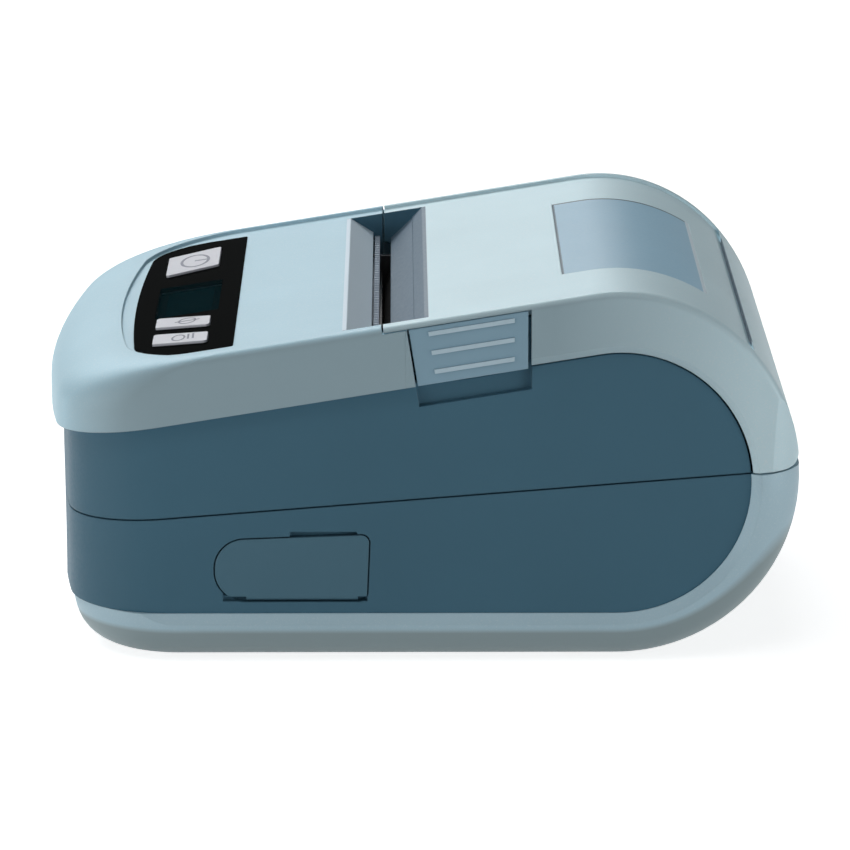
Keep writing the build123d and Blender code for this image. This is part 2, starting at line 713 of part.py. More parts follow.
def pad_part(x, y):
    """Rubber foot set in its recess and standing a little proud of the base."""
    with BuildPart() as pad:
        post(x, y, PAD_RADIUS, 0, PAD_PROUD + PAD_SET)
        fillet(pad.faces().sort_by(Axis.Z)[0].edges(), PAD_EDGE)
    return pad.part


def bush_part(side):
    """Flanged bush: its spigot sits in the carrier's ear, its flange in the side plate's notch."""
    with BuildPart() as bush:
        rod(PLATEN_X, PLATEN_Z, BUSH_SPIGOT, *span(side, EAR_START, EAR_END))
        rod(PLATEN_X, PLATEN_Z, BUSH_RADIUS, *span(side, EAR_END, PLATE_OUTER))
        rod(
            PLATEN_X, PLATEN_Z, SHAFT_RADIUS + RUNNING_FIT, *span(side, EAR_START - 1, PLATE_OUTER + 1),
            mode=Mode.SUBTRACT,
        )
    return bush.part


def swept_shell(outer, inner, x0, x1, y0, y1):
    """Piece of a shell that follows the lid's outline, between two insets from it."""
    with BuildPart() as shell:
        extrude(side_profile(LOWER_RADIUS - outer, TOP_RISE - outer), amount=HALF_WIDTH, both=True)
        extrude(
            side_profile(LOWER_RADIUS - inner, TOP_RISE - inner), amount=HALF_WIDTH, both=True,
            mode=Mode.SUBTRACT,
        )
        block(x0, x1, y0, y1, AXIS_Z + 2, AXIS_Z + FAR, mode=Mode.INTERSECT)
    return shell.part


def lip_bevel():
    """Wedges that bevel the light band's inner lip along both slate side panels."""
    with BuildPart() as wedges:
        with BuildPart(mode=Mode.PRIVATE) as wedge:
            outline = side_profile(PANEL_RADIUS + LIP_BEVEL_DOWN, PANEL_RISE + LIP_BEVEL_DOWN)
            extrude(outline, amount=HALF_WIDTH + 0.1)
            block(-FAR, FAR, -HALF_WIDTH + LIP_BEVEL_OUT, 1, -FAR, FAR, mode=Mode.SUBTRACT)
            inner = wedge.faces().filter_by(Axis.Y).sort_by(Axis.Y)[-1]
            chamfer(inner.edges(), length=LIP_BEVEL_DOWN, length2=LIP_BEVEL_OUT, reference=inner)
        add(wedge.part)
        mirror(wedge.part, about=Plane.XZ)
    return wedges.part


def lid_solid():
    """The lid's outer form: leaning band, rounded ridge, rounded rear corners, hinge rounding."""
    ridge_y = HALF_WIDTH - RIDGE_LEAN
    with BuildPart() as form:
        extrude(side_profile(LOWER_RADIUS, TOP_RISE), amount=HALF_WIDTH, both=True)
        split(bisect_by=LID_SEAM, keep=Keep.TOP)
        for side in form.faces().filter_by(Axis.Y):
            chain = [
                e for e in side.edges()
                if e.center().Z > seam_z(e.center().X) + 4 and e.center().X > FAR_FRONT + 1
            ]
            chamfer(chain, length=TOP_BAND - 0.3, length2=RIDGE_LEAN, reference=side)
        ridge = [
            e for e in form.edges()
            if abs(abs(e.center().Y) - ridge_y) < 0.001
            and e.center().X > FAR_FRONT + 1
            and e.center().Z > seam_z(e.center().X) + 2
        ]
        fillet(ridge, RIDGE_ROUND)
        split(bisect_by=LID_FACE, keep=Keep.TOP)
        plan = plan_profile(HALF_WIDTH, FRONT_X, FRONT_CORNER, REAR_X, LID_CORNER)
        extrude(plan, amount=BODY_LENGTH, mode=Mode.INTERSECT)
        with BuildPart(mode=Mode.PRIVATE) as corner:
            block(HINGE_X, HINGE_X + 5, -HALF_WIDTH, HALF_WIDTH, HINGE_Z - 5, HINGE_Z)
            rod(HINGE_X, HINGE_Z, HINGE_ROUND, -HALF_WIDTH - 1, HALF_WIDTH + 1, mode=Mode.SUBTRACT)
        add(corner.part, mode=Mode.SUBTRACT)
    return form.part


def lid_cavity():
    with BuildPart() as hollow:
        extrude(
            side_profile(LOWER_RADIUS - LID_WALL, TOP_RISE - LID_WALL), amount=LID_INNER_HALF, both=True
        )
        plan = plan_profile(
            LID_INNER_HALF, FRONT_X, FRONT_CORNER, REAR_X - LID_WALL, LID_CORNER - LID_WALL
        )
        extrude(plan, amount=BODY_LENGTH, mode=Mode.INTERSECT)
    return hollow.part


def flap_outline(grow=0.0):
    """Outline of the socket flap on the near side panel."""
    near = Plane(origin=(0, -FLAP_OUTER, 0), x_dir=(1, 0, 0), z_dir=(0, -1, 0))
    corners = [
        (FLAP_FRONT, FLAP_BOTTOM), (FLAP_REAR, FLAP_BOTTOM),
        (FLAP_REAR + FLAP_FLARE, FLAP_TOP), (FLAP_FRONT, FLAP_BOTTOM + FLAP_HEIGHT_FRONT),
    ]
    with BuildSketch(near, mode=Mode.PRIVATE) as sketch:
        with BuildLine():
            Polyline(*corners, close=True)
        make_face()
        fillet(sketch.vertices().sort_by(Axis.X)[:2], FLAP_FRONT_CORNER)
        fillet(sketch.vertices().sort_by(Axis.X)[-2:], FLAP_REAR_CORNER)
        if grow:
            offset(amount=grow)
    return sketch.sketch


EAR_END = PLATE_INNER - PART_GAP
EAR_START = EAR_END - EAR_THICK
LID_FACE_POINT = deck_point(LID_FRONT, 0)
LID_FACE = Plane(
    origin=(LID_FACE_POINT[0], 0, LID_FACE_POINT[1]), x_dir=(0, 1, 0), z_dir=(DECK_COS, 0, DECK_SIN)
)
# Inner ends of the trough's two slanted walls: under the slit and where they meet the deck
FRONT_WALL_FOOT = (
    WALL_END - TROUGH_WALL * math.sin(FRONT_FALL), WALL_END_Z - TROUGH_WALL * math.cos(FRONT_FALL),
)
FRONT_WALL_X = TROUGH_FRONT - TROUGH_WALL * DECK_COS / math.sin(FRONT_FALL + DECK_TILT)
REAR_WALL_TOP = (TEAR_X + SLIT, TROUGH_FLOOR)
REAR_WALL_FOOT = (
    TEAR_X + SLIT + TROUGH_WALL * math.sin(REAR_CLIMB), TROUGH_FLOOR - TROUGH_WALL * math.cos(REAR_CLIMB),
)
REAR_WALL_X = TROUGH_BACK + TROUGH_WALL * DECK_COS / math.sin(REAR_CLIMB - DECK_TILT)

hoop_outer = lower_volume(0, BASE_SETBACK)
case_outer = lower_volume(SKIN, BASE_SETBACK + SKIN)
case_inner = lower_volume(SKIN + CASE_WALL, BASE_SETBACK + SKIN + CASE_WALL)
panel_outer = panel_volume(0)
panel_inner = panel_volume(CASE_WALL)
cover_outer = cover_volume(0, 0, LATCH_FRONT - LATCH_GAP)
cover_inner = cover_volume(COVER_WALL, COVER_TOP, LATCH_FRONT - LATCH_GAP)
bevels = lip_bevel()
recess_outline = plan_profile(RECESS_HALF, along_deck(FRONT_X + RIM_SETBACK, 0), RIM_CORNER)
panel_outline = plan_profile(
    PANEL_HALF, along_deck(PANEL_FRONT, 0), PANEL_CORNER, along_deck(PANEL_REAR, 0), 0.6, PANEL_BOW
)

# Light base frame: the hoop's lower half, with the ears of the lid hinge on its rear edge
with BuildPart() as base_frame:
    add(hoop_outer)
    add(case_outer, mode=Mode.SUBTRACT)
    extrude(side_profile(PANEL_RADIUS, PANEL_RISE), amount=HALF_WIDTH, both=True, mode=Mode.SUBTRACT)
    add(bevels, mode=Mode.SUBTRACT)
    for side in (-1, 1):
        ear = span(side, EAR_INNER, EAR_OUTER)
        block(HINGE_X + 0.9, HINGE_X + HINGE_ROUND, *ear, HINGE_Z - 4.0, HINGE_Z)
        rod(HINGE_X, HINGE_Z, HINGE_ROUND, *ear)
        rod(HINGE_X, HINGE_Z, PIN_RADIUS, *span(side, EAR_INNER - 1, EAR_OUTER + 1), mode=Mode.SUBTRACT)
    block(DOOR_FRONT, DOOR_REAR, -DOOR_HALF, DOOR_HALF, 0, FLOOR + 0.01, mode=Mode.SUBTRACT)
    for x, y in PAD_SPOTS:
        post(x, y, PAD_RADIUS, 0, PAD_PROUD + PAD_SET, mode=Mode.SUBTRACT)
    for x, y in SCREW_SPOTS:
        post(x, y, SCREW_HEAD + 0.1, 0, PAD_PROUD + SCREW_SINK + SCREW_HEAD_HEIGHT, mode=Mode.SUBTRACT)
        post(x, y, SCREW_SHANK + 0.1, 0, FLOOR_TOP, mode=Mode.SUBTRACT)
base_frame.part.label = "base_frame"
export_step(base_frame.part, "parts/base_frame.step")

# Slate lower case: floor, rear wall, side panels, the flap's pocket and the screw bosses
with BuildPart() as lower_case:
    add(panel_outer)
    split(bisect_by=Plane.XY.offset(PANEL_BOTTOM), keep=Keep.TOP)
    split(bisect_by=SEAM_PLANE, keep=Keep.BOTTOM)
    add(case_outer)
    add(case_inner, mode=Mode.SUBTRACT)
    block(
        FLAP_FRONT - 2.0, FLAP_REAR + 2.5, -FLAP_INNER, -POCKET_INNER, PANEL_BOTTOM + 0.3, FLAP_TOP + 1.7
    )
    for x, y in SCREW_SPOTS:
        post(x, y, BOSS_RADIUS, FLOOR_TOP - 0.1, BOSS_TOP)
        post(x, y, SCREW_SHANK + 0.1, 0, BOSS_TOP + 1, mode=Mode.SUBTRACT)
    for x in (MAIN_FRONT + 0.8, MAIN_REAR - 1.2):
        for y in (-20, 20):
            post(x, y, 1.3, FLOOR_TOP - 0.1, MAIN_Z)
    for x, y in FRAME_SPOTS:
        post(x, y, FRAME_POST, FLOOR_TOP - 0.1, FRAME_FLOOR)
        post(x, y, SCREW_SHANK, BOSS_TOP, FRAME_FLOOR + 1, mode=Mode.SUBTRACT)
    for x in (FLAP_FRONT + 2.6, FLAP_REAR - 1.6):
        post(x, -SOCKET_FACE + 8.3, 1.6, FLOOR_TOP - 0.1, SOCKET_BOARD_Z)
    for y in (-32, 32):
        block(AXIS_X - 18.5, AXIS_X + 6.5, y - 1, y + 1, FLOOR_TOP - 0.5, FLOOR_TOP + 5.7)
    rod(AXIS_X, AXIS_Z, CRADLE_RADIUS, -34, 34, mode=Mode.SUBTRACT)
    block(
        DOOR_FRONT + DOOR_LEDGE, DOOR_REAR - DOOR_LEDGE, -DOOR_HALF + DOOR_LEDGE, DOOR_HALF - DOOR_LEDGE,
        0, FLOOR_TOP + 1, mode=Mode.SUBTRACT,
    )
    extrude(flap_outline(FLAP_GAP), amount=-FLAP_THICK, mode=Mode.SUBTRACT)
    block(
        FLAP_REAR - THUMB_REAR - THUMB_LENGTH, FLAP_REAR - THUMB_REAR, -FLAP_OUTER - 1, -FLAP_INNER,
        FLAP_TOP - 1.4, FLAP_TOP + 0.6, mode=Mode.SUBTRACT,
    )
    block(
        FLAP_FRONT + 1.4, FLAP_REAR + 0.1, -FLAP_OUTER - 1, FLAP_HINGE_Y + 0.3,
        FLAP_HINGE_Z - FLAP_ROUND - 0.1, FLAP_HINGE_Z + FLAP_ROUND, mode=Mode.SUBTRACT,
    )
    block(
        POWER_X - POWER_WIDTH / 2 - 0.4, POWER_X + POWER_WIDTH / 2 + 0.4, -FLAP_OUTER, -POCKET_INNER + 1,
        SOCKET_TOP - 0.4, SOCKET_TOP + POWER_HEIGHT + 0.3, mode=Mode.SUBTRACT,
    )
    block(
        USB_X - USB_WIDTH / 2 - 0.4, USB_X + USB_WIDTH / 2 + 0.4, -FLAP_OUTER, -POCKET_INNER + 1,
        SOCKET_TOP - 0.4, SOCKET_TOP + USB_HEIGHT + 0.4, mode=Mode.SUBTRACT,
    )
    lengthwise_rod(FLAP_HINGE_Y, FLAP_HINGE_Z, FLAP_PIN, FLAP_PIN_START, FLAP_PIN_END, mode=Mode.SUBTRACT)
lower_case.part.label = "lower_case"
export_step(lower_case.part, "parts/lower_case.step")

# The dark shadow line that runs round the body just above the seam
with BuildPart() as seam_ring:
    add(panel_outer)
    split(bisect_by=SEAM_PLANE, keep=Keep.TOP)
    split(bisect_by=LID_SEAM, keep=Keep.BOTTOM)
    add(panel_volume(SEAM_GROOVE_DEPTH), mode=Mode.SUBTRACT)

# Slate upper case: side panels, open over the mechanism and the roll, with the latch walls
with BuildPart() as upper_case:
    add(panel_outer)
    split(bisect_by=SEAM_PLANE, keep=Keep.TOP)
    add(panel_inner, mode=Mode.SUBTRACT)
    add(seam_ring.part, mode=Mode.SUBTRACT)
    low = seam_z(FRONT_X)
    shoe_low = SHOE_TOP + SHOE_HEIGHT + LATCH_TRAVEL
    shoe_rear = HOOK_X + SHOE_WIDTH / 2 + shoe_low * DECK_SIN + MOVING_GAP
    block(shoe_rear - 1, REAR_X, -PLATE_INNER, PLATE_INNER, low, low + FAR, mode=Mode.SUBTRACT)
    block(
        PANEL_REAR - 12, shoe_rear, -SHOE_OUTER, SHOE_OUTER, BATTERY_TOP, low + FAR, mode=Mode.SUBTRACT
    )
    opening = plan_profile(
        HALF_WIDTH - 16, FRONT_X + CASE_SETBACK + CASE_WALL + 1, PANEL_CORNER, PANEL_REAR - 11
    )
    extrude(Plane.XY.offset(BATTERY_TOP) * opening, amount=FAR, mode=Mode.SUBTRACT)
    for side in (-1, 1):
        deck_prism(
            LATCH_FRONT - 0.2, LATCH_BACK + 0.3, 2.5, BAND_DEPTH + 5.5,
            *span(side, CARRIER_INNER, CARRIER_OUTER),
        )
        band_prism(
            LATCH_FRONT - LATCH_GAP, LATCH_BACK + LATCH_BACK_GAP, BAND_DEPTH - 0.01, BAND_DEPTH + GRIP_DEPTH,
            *span(side, CARRIER_OUTER, HALF_WIDTH), mode=Mode.SUBTRACT,
        )
        deck_prism(
            HOOK_X - STEM_WIDTH / 2 - MOVING_GAP, HOOK_X + STEM_WIDTH / 2 + MOVING_GAP,
            STEM_TOP - MOVING_GAP, STEM_TOP + STEM_HEIGHT + LATCH_TRAVEL + 0.4,
            *span(side, CARRIER_INNER - 1, CARRIER_OUTER + 0.1), mode=Mode.SUBTRACT,
        )
    for x, y in SCREW_SPOTS:
        post(x, y, BOSS_RADIUS - PART_GAP, BOSS_TOP + PART_GAP, panel_z(x) - 1.0)
        post(x, y, SCREW_SHANK, BOSS_TOP, PAD_PROUD + SCREW_SINK + SCREW_HEAD_HEIGHT + SCREW_LENGTH + 0.4,
             mode=Mode.SUBTRACT)
upper_case.part.label = "upper_case"
export_step(upper_case.part, "parts/upper_case.step")

# Room inside the front cover, kept clear of the paper trough's walls
with BuildPart() as cover_hollow:
    add(cover_inner)
    prism(
        [
            (FRONT_WALL_X, deck_z(FRONT_WALL_X) + 20), (FRONT_WALL_X, deck_z(FRONT_WALL_X)), FRONT_WALL_FOOT,
            (LATCH_BACK, FRONT_WALL_FOOT[1]), (LATCH_BACK, deck_z(FRONT_WALL_X) + 20),
        ],
        -TROUGH_HALF - TROUGH_WALL, TROUGH_HALF + TROUGH_WALL, mode=Mode.SUBTRACT,
    )
    block(
        TEAR_X - 1.3, LATCH_BACK, -HALF_WIDTH, HALF_WIDTH, AXIS_Z, deck_z(LATCH_BACK) + 20, mode=Mode.SUBTRACT
    )

# Light front cover: rounded shoulder, rim, recessed deck, trough front wall, key openings
with BuildPart() as front_cover:
    add(cover_outer)
    add(cover_hollow.part, mode=Mode.SUBTRACT)
    deck_plate(recess_outline, -1, DECK_RECESS, mode=Mode.SUBTRACT)
    prism(
        [
            (TROUGH_FRONT, deck_z(TROUGH_FRONT) + 20), (TROUGH_FRONT, deck_z(TROUGH_FRONT)),
            (WALL_END, WALL_END_Z), (WALL_END, AXIS_Z), (LATCH_BACK, AXIS_Z),
            (LATCH_BACK, deck_z(TROUGH_FRONT) + 20),
        ],
        -TROUGH_HALF, TROUGH_HALF, mode=Mode.SUBTRACT,
    )
    block(
        TEAR_X, LATCH_BACK, -LID_INNER_HALF, LID_INNER_HALF, AXIS_Z, deck_z(LATCH_BACK) + 20,
        mode=Mode.SUBTRACT,
    )
    deck_prism(TEAR_X, LATCH_BACK, -1, LATCH_TOP, -HALF_WIDTH, HALF_WIDTH, mode=Mode.SUBTRACT)
    deck_plate(panel_outline, -1, PANEL_SEAT, mode=Mode.SUBTRACT)
    for key in KEYS:
        deck_plate(key_outline(*key, KEY_GAP), 0, KEYPAD_DEPTH - 2, mode=Mode.SUBTRACT)
    deck_prism(
        LENS_FRONT - 0.6, LENS_REAR + 0.6, 0, KEYPAD_DEPTH - 2, LENS_LOW - 0.6, LENS_HIGH + 0.6,
        mode=Mode.SUBTRACT,
    )
    for y, radius in ((-PANEL_HALF + 2.3, 2.0), (PANEL_HALF - 2.3, 2.0), (LENS_HIGH + 4.6, 1.8)):
        deck_rod(PANEL_MIDDLE, y, radius, COVER_TOP - 0.1, KEYPAD_DEPTH)
front_cover.part.label = "front_cover"
export_step(front_cover.part, "parts/front_cover.step")

# Light lid: curved shell over the roll, trough rear wall, window seat and hinge barrels
with BuildPart() as lid:
    add(lid_solid())
    extrude(
        side_profile(PANEL_RADIUS + PANEL_GAP, PANEL_RISE + PANEL_GAP), amount=HALF_WIDTH + 1, both=True,
        mode=Mode.SUBTRACT,
    )
    add(bevels, mode=Mode.SUBTRACT)
    add(lid_cavity(), mode=Mode.SUBTRACT)
    for side in (-1, 1):
        band_prism(
            FRONT_X, LID_END, LIP_THICKNESS, 30, *span(side, CARRIER_OUTER, HALF_WIDTH + 1),
            mode=Mode.SUBTRACT,
        )
        prism(
            [
                (LID_FRONT, deck_z(LID_FRONT) - 0.3), (LID_FRONT, TROUGH_FLOOR - 0.7), REAR_WALL_FOOT,
                (REAR_WALL_X, deck_z(REAR_WALL_X) - DECK_RECESS - 0.05),
            ],
            *span(side, TROUGH_HALF, TROUGH_HALF + TROUGH_WALL),
        )
        deck_prism(
            HOOK_X - HOOK_WIDTH / 2, HOOK_X + HOOK_WIDTH / 2, LID_WALL - 0.2, HOOK_DEPTH,
            *span(side, SHOE_OUTER - HOOK_THICK, SHOE_OUTER),
        )
    prism(
        [
            (TROUGH_BACK, deck_z(TROUGH_BACK) - 0.3), REAR_WALL_TOP, REAR_WALL_FOOT,
            (REAR_WALL_X, deck_z(REAR_WALL_X) - DECK_RECESS - 0.05),
        ],
        -TROUGH_HALF - 0.1, TROUGH_HALF + 0.1,
    )
    prism(
        [
            (TROUGH_BACK, deck_z(TROUGH_BACK) + 20), (TROUGH_BACK, deck_z(TROUGH_BACK)), REAR_WALL_TOP,
            (TROUGH_FRONT, TROUGH_FLOOR), (TROUGH_FRONT, deck_z(TROUGH_BACK) + 20),
        ],
        -TROUGH_HALF, TROUGH_HALF, mode=Mode.SUBTRACT,
    )
    for y in (-LID_RIB_Y, LID_RIB_Y):
        add(
            swept_shell(
                LID_WALL - 0.3, LID_RIB_DEPTH, AXIS_X - LID_RIB_AHEAD, AXIS_X + LID_RIB_BEHIND,
                y - LID_RIB_THICK / 2, y + LID_RIB_THICK / 2,
            )
        )
    add(
        swept_shell(
            LID_WALL - 0.3, DECK_RECESS + WINDOW_THICK + 1.4,
            WINDOW_FRONT - WINDOW_FRAME, WINDOW_REAR + WINDOW_FRAME,
            -WINDOW_HALF - WINDOW_FRAME, WINDOW_HALF + WINDOW_FRAME,
        )
    )
    add(swept_shell(-1, DECK_RECESS, FRONT_X, CREASE_X, -RECESS_HALF, RECESS_HALF), mode=Mode.SUBTRACT)
    add(
        swept_shell(
            -1, DECK_RECESS + WINDOW_THICK, WINDOW_FRONT - RUNNING_FIT, WINDOW_REAR + RUNNING_FIT,
            -WINDOW_HALF - RUNNING_FIT, WINDOW_HALF + RUNNING_FIT,
        ),
        mode=Mode.SUBTRACT,
    )
    block(
        WINDOW_FRONT + WINDOW_SEAT, WINDOW_REAR - WINDOW_SEAT, -WINDOW_HALF + WINDOW_SEAT,
        WINDOW_HALF - WINDOW_SEAT, AXIS_Z + 5, deck_z(WINDOW_REAR) + 5, mode=Mode.SUBTRACT,
    )
    for side in (-1, 1):
        notch = span(side, EAR_INNER - MOVING_GAP, EAR_OUTER + MOVING_GAP)
        block(
            HINGE_X - HINGE_ROOM, HINGE_X + HINGE_ROOM, *notch, HINGE_Z - 4, HINGE_Z + HINGE_ROOM,
            mode=Mode.SUBTRACT,
        )
        rod(HINGE_X, HINGE_Z, HINGE_ROUND, *span(side, EAR_OUTER + MOVING_GAP, BARREL_END))
    rod(HINGE_X, HINGE_Z, HINGE_ROUND, -EAR_INNER + MOVING_GAP, EAR_INNER - MOVING_GAP)
    rod(
        HINGE_X, HINGE_Z, PIN_RADIUS + RUNNING_FIT, -BARREL_END - MOVING_GAP, HALF_WIDTH, mode=Mode.SUBTRACT
    )
lid.part.label = "lid"
export_step(lid.part, "parts/lid.step")

# Smoky window in the lid, flush with the recessed deck
with BuildPart() as lid_window:
    add(
        swept_shell(
            DECK_RECESS, DECK_RECESS + WINDOW_THICK, WINDOW_FRONT, WINDOW_REAR, -WINDOW_HALF, WINDOW_HALF
        )
    )
lid_window.part.label = "lid_window"
export_step(lid_window.part, "parts/lid_window.step")

with BuildPart() as hinge_pin:
    rod(HINGE_X, HINGE_Z, PIN_RADIUS, -BARREL_END, BARREL_END)
hinge_pin.part.label = "hinge_pin"
export_step(hinge_pin.part, "parts/hinge_pin.step")

# Sliding latches, one in each side of the band
with BuildPart() as latch_near:
    add(latch_part(-1))
latch_near.part.label = "latch_near"
export_step(latch_near.part, "parts/latch_near.step")

with BuildPart() as latch_far:
    add(latch_part(1))
latch_far.part.label = "latch_far"
export_step(latch_far.part, "parts/latch_far.step")

# Display panel, its lens, the display behind it and the keys
with BuildPart() as display_panel:
    deck_plate(panel_outline, PANEL_TOP, PANEL_SEAT)
    for key in KEYS:
        deck_plate(key_outline(*key, KEY_GAP), 0, PANEL_SEAT + 1, mode=Mode.SUBTRACT)
    deck_prism(LENS_FRONT, LENS_REAR, 0, PANEL_SEAT + 1, LENS_LOW, LENS_HIGH, mode=Mode.SUBTRACT)
display_panel.part.label = "display_panel"
export_step(display_panel.part, "parts/display_panel.step")

with BuildPart() as display_lens:
    deck_prism(LENS_FRONT, LENS_REAR, PANEL_TOP, PANEL_SEAT, LENS_LOW, LENS_HIGH)
display_lens.part.label = "display_lens"
export_step(display_lens.part, "parts/display_lens.step")

with BuildPart() as lcd_module:
    deck_prism(
        LENS_FRONT - 0.3, LENS_REAR + 0.3, PANEL_SEAT + 0.3, KEYPAD_DEPTH - 1.2,
        LENS_LOW - 0.3, LENS_HIGH + 0.3,
    )
    deck_prism(
        LENS_FRONT + 1.5, LENS_REAR - 1.5, PANEL_SEAT, PANEL_SEAT + 0.6, LENS_LOW + 1.5, LENS_HIGH - 1.5
    )
    deck_prism(
        LENS_FRONT + 2.5, LENS_REAR - 2.5, KEYPAD_DEPTH - 1.3, KEYPAD_DEPTH, LENS_LOW + 2.0, LENS_LOW + 4.0
    )
lcd_module.part.label = "lcd_module"
export_step(lcd_module.part, "parts/lcd_module.step")

with BuildPart() as power_key:
    add(key_part(*POWER_KEY))
power_key.part.label = "power_key"
export_step(power_key.part, "parts/power_key.step")

with BuildPart() as function_key:
    add(key_part(*FUNCTION_KEY))
function_key.part.label = "function_key"
export_step(function_key.part, "parts/function_key.step")

with BuildPart() as feed_key:
    add(key_part(*FEED_KEY))
feed_key.part.label = "feed_key"
export_step(feed_key.part, "parts/feed_key.step")

with BuildPart() as keypad_board:
    back = KEYPAD_DEPTH + KEYPAD_THICK
    deck_prism(
        PANEL_FRONT + 2.7, PANEL_REAR - 2.7, KEYPAD_DEPTH, back, -PANEL_HALF + PART_GAP, PANEL_HALF - PART_GAP
    )
    for key in KEYS:
        middle = sum(key) / 4
        deck_prism(KEY_MIDDLE - 2.5, KEY_MIDDLE + 2.5, SWITCH_TOP, KEYPAD_DEPTH, middle - 2.5, middle + 2.5)
        deck_rod(KEY_MIDDLE, middle, STEM_RADIUS - 0.2, SWITCH_TOP - 0.8, SWITCH_TOP + 0.1)
    deck_prism(PANEL_MIDDLE - 4, PANEL_MIDDLE + 1, back, back + 1.4, -6, 4)
keypad_board.part.label = "keypad_board"
export_step(keypad_board.part, "parts/keypad_board.step")

# Flap over the sockets, on a pin along its lower edge
with BuildPart() as port_cover:
    extrude(flap_outline(), amount=-FLAP_THICK)
    block(
        FLAP_FRONT - 1, FLAP_REAR + 1, -FLAP_OUTER - 1, -FLAP_INNER + 1, FLAP_BOTTOM - 1, FLAP_HINGE_Z,
        mode=Mode.SUBTRACT,
    )
    lengthwise_rod(FLAP_HINGE_Y, FLAP_HINGE_Z, FLAP_ROUND, FLAP_BARREL_START, FLAP_BARREL_END)
    lengthwise_rod(
        FLAP_HINGE_Y, FLAP_HINGE_Z, FLAP_PIN + RUNNING_FIT, FLAP_FRONT - 1, FLAP_REAR + 2, mode=Mode.SUBTRACT
    )
port_cover.part.label = "port_cover"
export_step(port_cover.part, "parts/port_cover.step")

with BuildPart() as port_pin:
    lengthwise_rod(FLAP_HINGE_Y, FLAP_HINGE_Z, FLAP_PIN, FLAP_PIN_START, FLAP_PIN_END)
port_pin.part.label = "port_pin"
export_step(port_pin.part, "parts/port_pin.step")

# Socket board with its two sockets
with BuildPart() as socket_board:
    edge = -SOCKET_FACE + 0.1
    block(FLAP_FRONT - 0.9, FLAP_PIN_END, edge, edge + SOCKET_BOARD_WIDTH, SOCKET_BOARD_Z, SOCKET_TOP)
    block(POWER_X - 2, POWER_X + 4, edge + 8.0, edge + 10.3, SOCKET_TOP, SOCKET_TOP + 3.0)
    block(USB_X - 1.0, USB_X + 3.0, edge + 6.8, edge + 10.2, SOCKET_TOP, SOCKET_TOP + 1.2)
socket_board.part.label = "socket_board"
export_step(socket_board.part, "parts/socket_board.step")

with BuildPart() as usb_socket:
    left = USB_X - USB_WIDTH / 2
    right = USB_X + USB_WIDTH / 2
    rear = -SOCKET_FACE + USB_LENGTH
    block(left, right, -SOCKET_FACE, rear, SOCKET_TOP, SOCKET_TOP + USB_HEIGHT)
    fillet(usb_socket.edges().filter_by(Axis.Y).sort_by(Axis.Z)[:2], 1.0)
    block(
        left + USB_WALL, right - USB_WALL, -SOCKET_FACE - 1, rear - 1, SOCKET_TOP + USB_WALL,
        SOCKET_TOP + USB_HEIGHT - USB_WALL, mode=Mode.SUBTRACT,
    )
    block(
        USB_X - 2.1, USB_X + 2.1, -SOCKET_FACE + 0.5, rear - 0.9, SOCKET_TOP + USB_HEIGHT / 2 - 0.3,
        SOCKET_TOP + USB_HEIGHT / 2 + 0.4,
    )
usb_socket.part.label = "usb_socket"
export_step(usb_socket.part, "parts/usb_socket.step")

with BuildPart() as power_socket:
    rear = -SOCKET_FACE + POWER_LENGTH
    block(
        POWER_X - POWER_WIDTH / 2, POWER_X + POWER_WIDTH / 2, -SOCKET_FACE, rear, SOCKET_TOP,
        SOCKET_TOP + POWER_HEIGHT,
    )
    rod(POWER_X, POWER_Z, POWER_HOLE, -SOCKET_FACE - 1, rear - 1.4, mode=Mode.SUBTRACT)
    rod(POWER_X, POWER_Z, POWER_PIN, -SOCKET_FACE + 0.7, rear - 1.3)
power_socket.part.label = "power_socket"
export_step(power_socket.part, "parts/power_socket.step")

with BuildPart() as main_board:
    block(MAIN_FRONT, MAIN_REAR, -MAIN_HALF, MAIN_HALF, MAIN_Z, MAIN_TOP)
    block(MAIN_FRONT + 9.5, MAIN_FRONT + 21.5, -8, 4, MAIN_TOP, MAIN_TOP + 1.4)
    block(MAIN_REAR - 10, MAIN_REAR - 4, -14, -4, MAIN_TOP, MAIN_TOP + 1.2)
    block(MAIN_FRONT + 3.5, MAIN_FRONT + 7.5, -30, -14, MAIN_TOP, MAIN_TOP + 3.0)
    block(MAIN_REAR - 8, MAIN_REAR - 3, 12, 30, MAIN_TOP, MAIN_TOP + 4.0)
    block(MAIN_FRONT + 11.5, MAIN_FRONT + 19.5, 16, 24, MAIN_TOP, MAIN_TOP + 1.0)
    post(MAIN_FRONT + 5.5, 26, 3.0, MAIN_TOP, MAIN_TOP + 7.0)
    post(MAIN_FRONT + 13.5, 28, 2.4, MAIN_TOP, MAIN_TOP + 6.0)
main_board.part.label = "main_board"
export_step(main_board.part, "parts/main_board.step")

# Battery pack and the door under it
with BuildPart() as battery_pack:
    block(BATTERY_FRONT, BATTERY_REAR, -BATTERY_HALF, BATTERY_HALF, BATTERY_BOTTOM, BATTERY_TOP)
    fillet(battery_pack.edges().filter_by(Axis.Y), BATTERY_ROUND)
    for y in (-12, -4, 4, 12):
        block(BATTERY_REAR - 0.4, BATTERY_REAR + 0.3, y - 1.5, y + 1.5, BATTERY_TOP - 7.4, BATTERY_TOP - 3.4)
battery_pack.part.label = "battery_pack"
export_step(battery_pack.part, "parts/battery_pack.step")

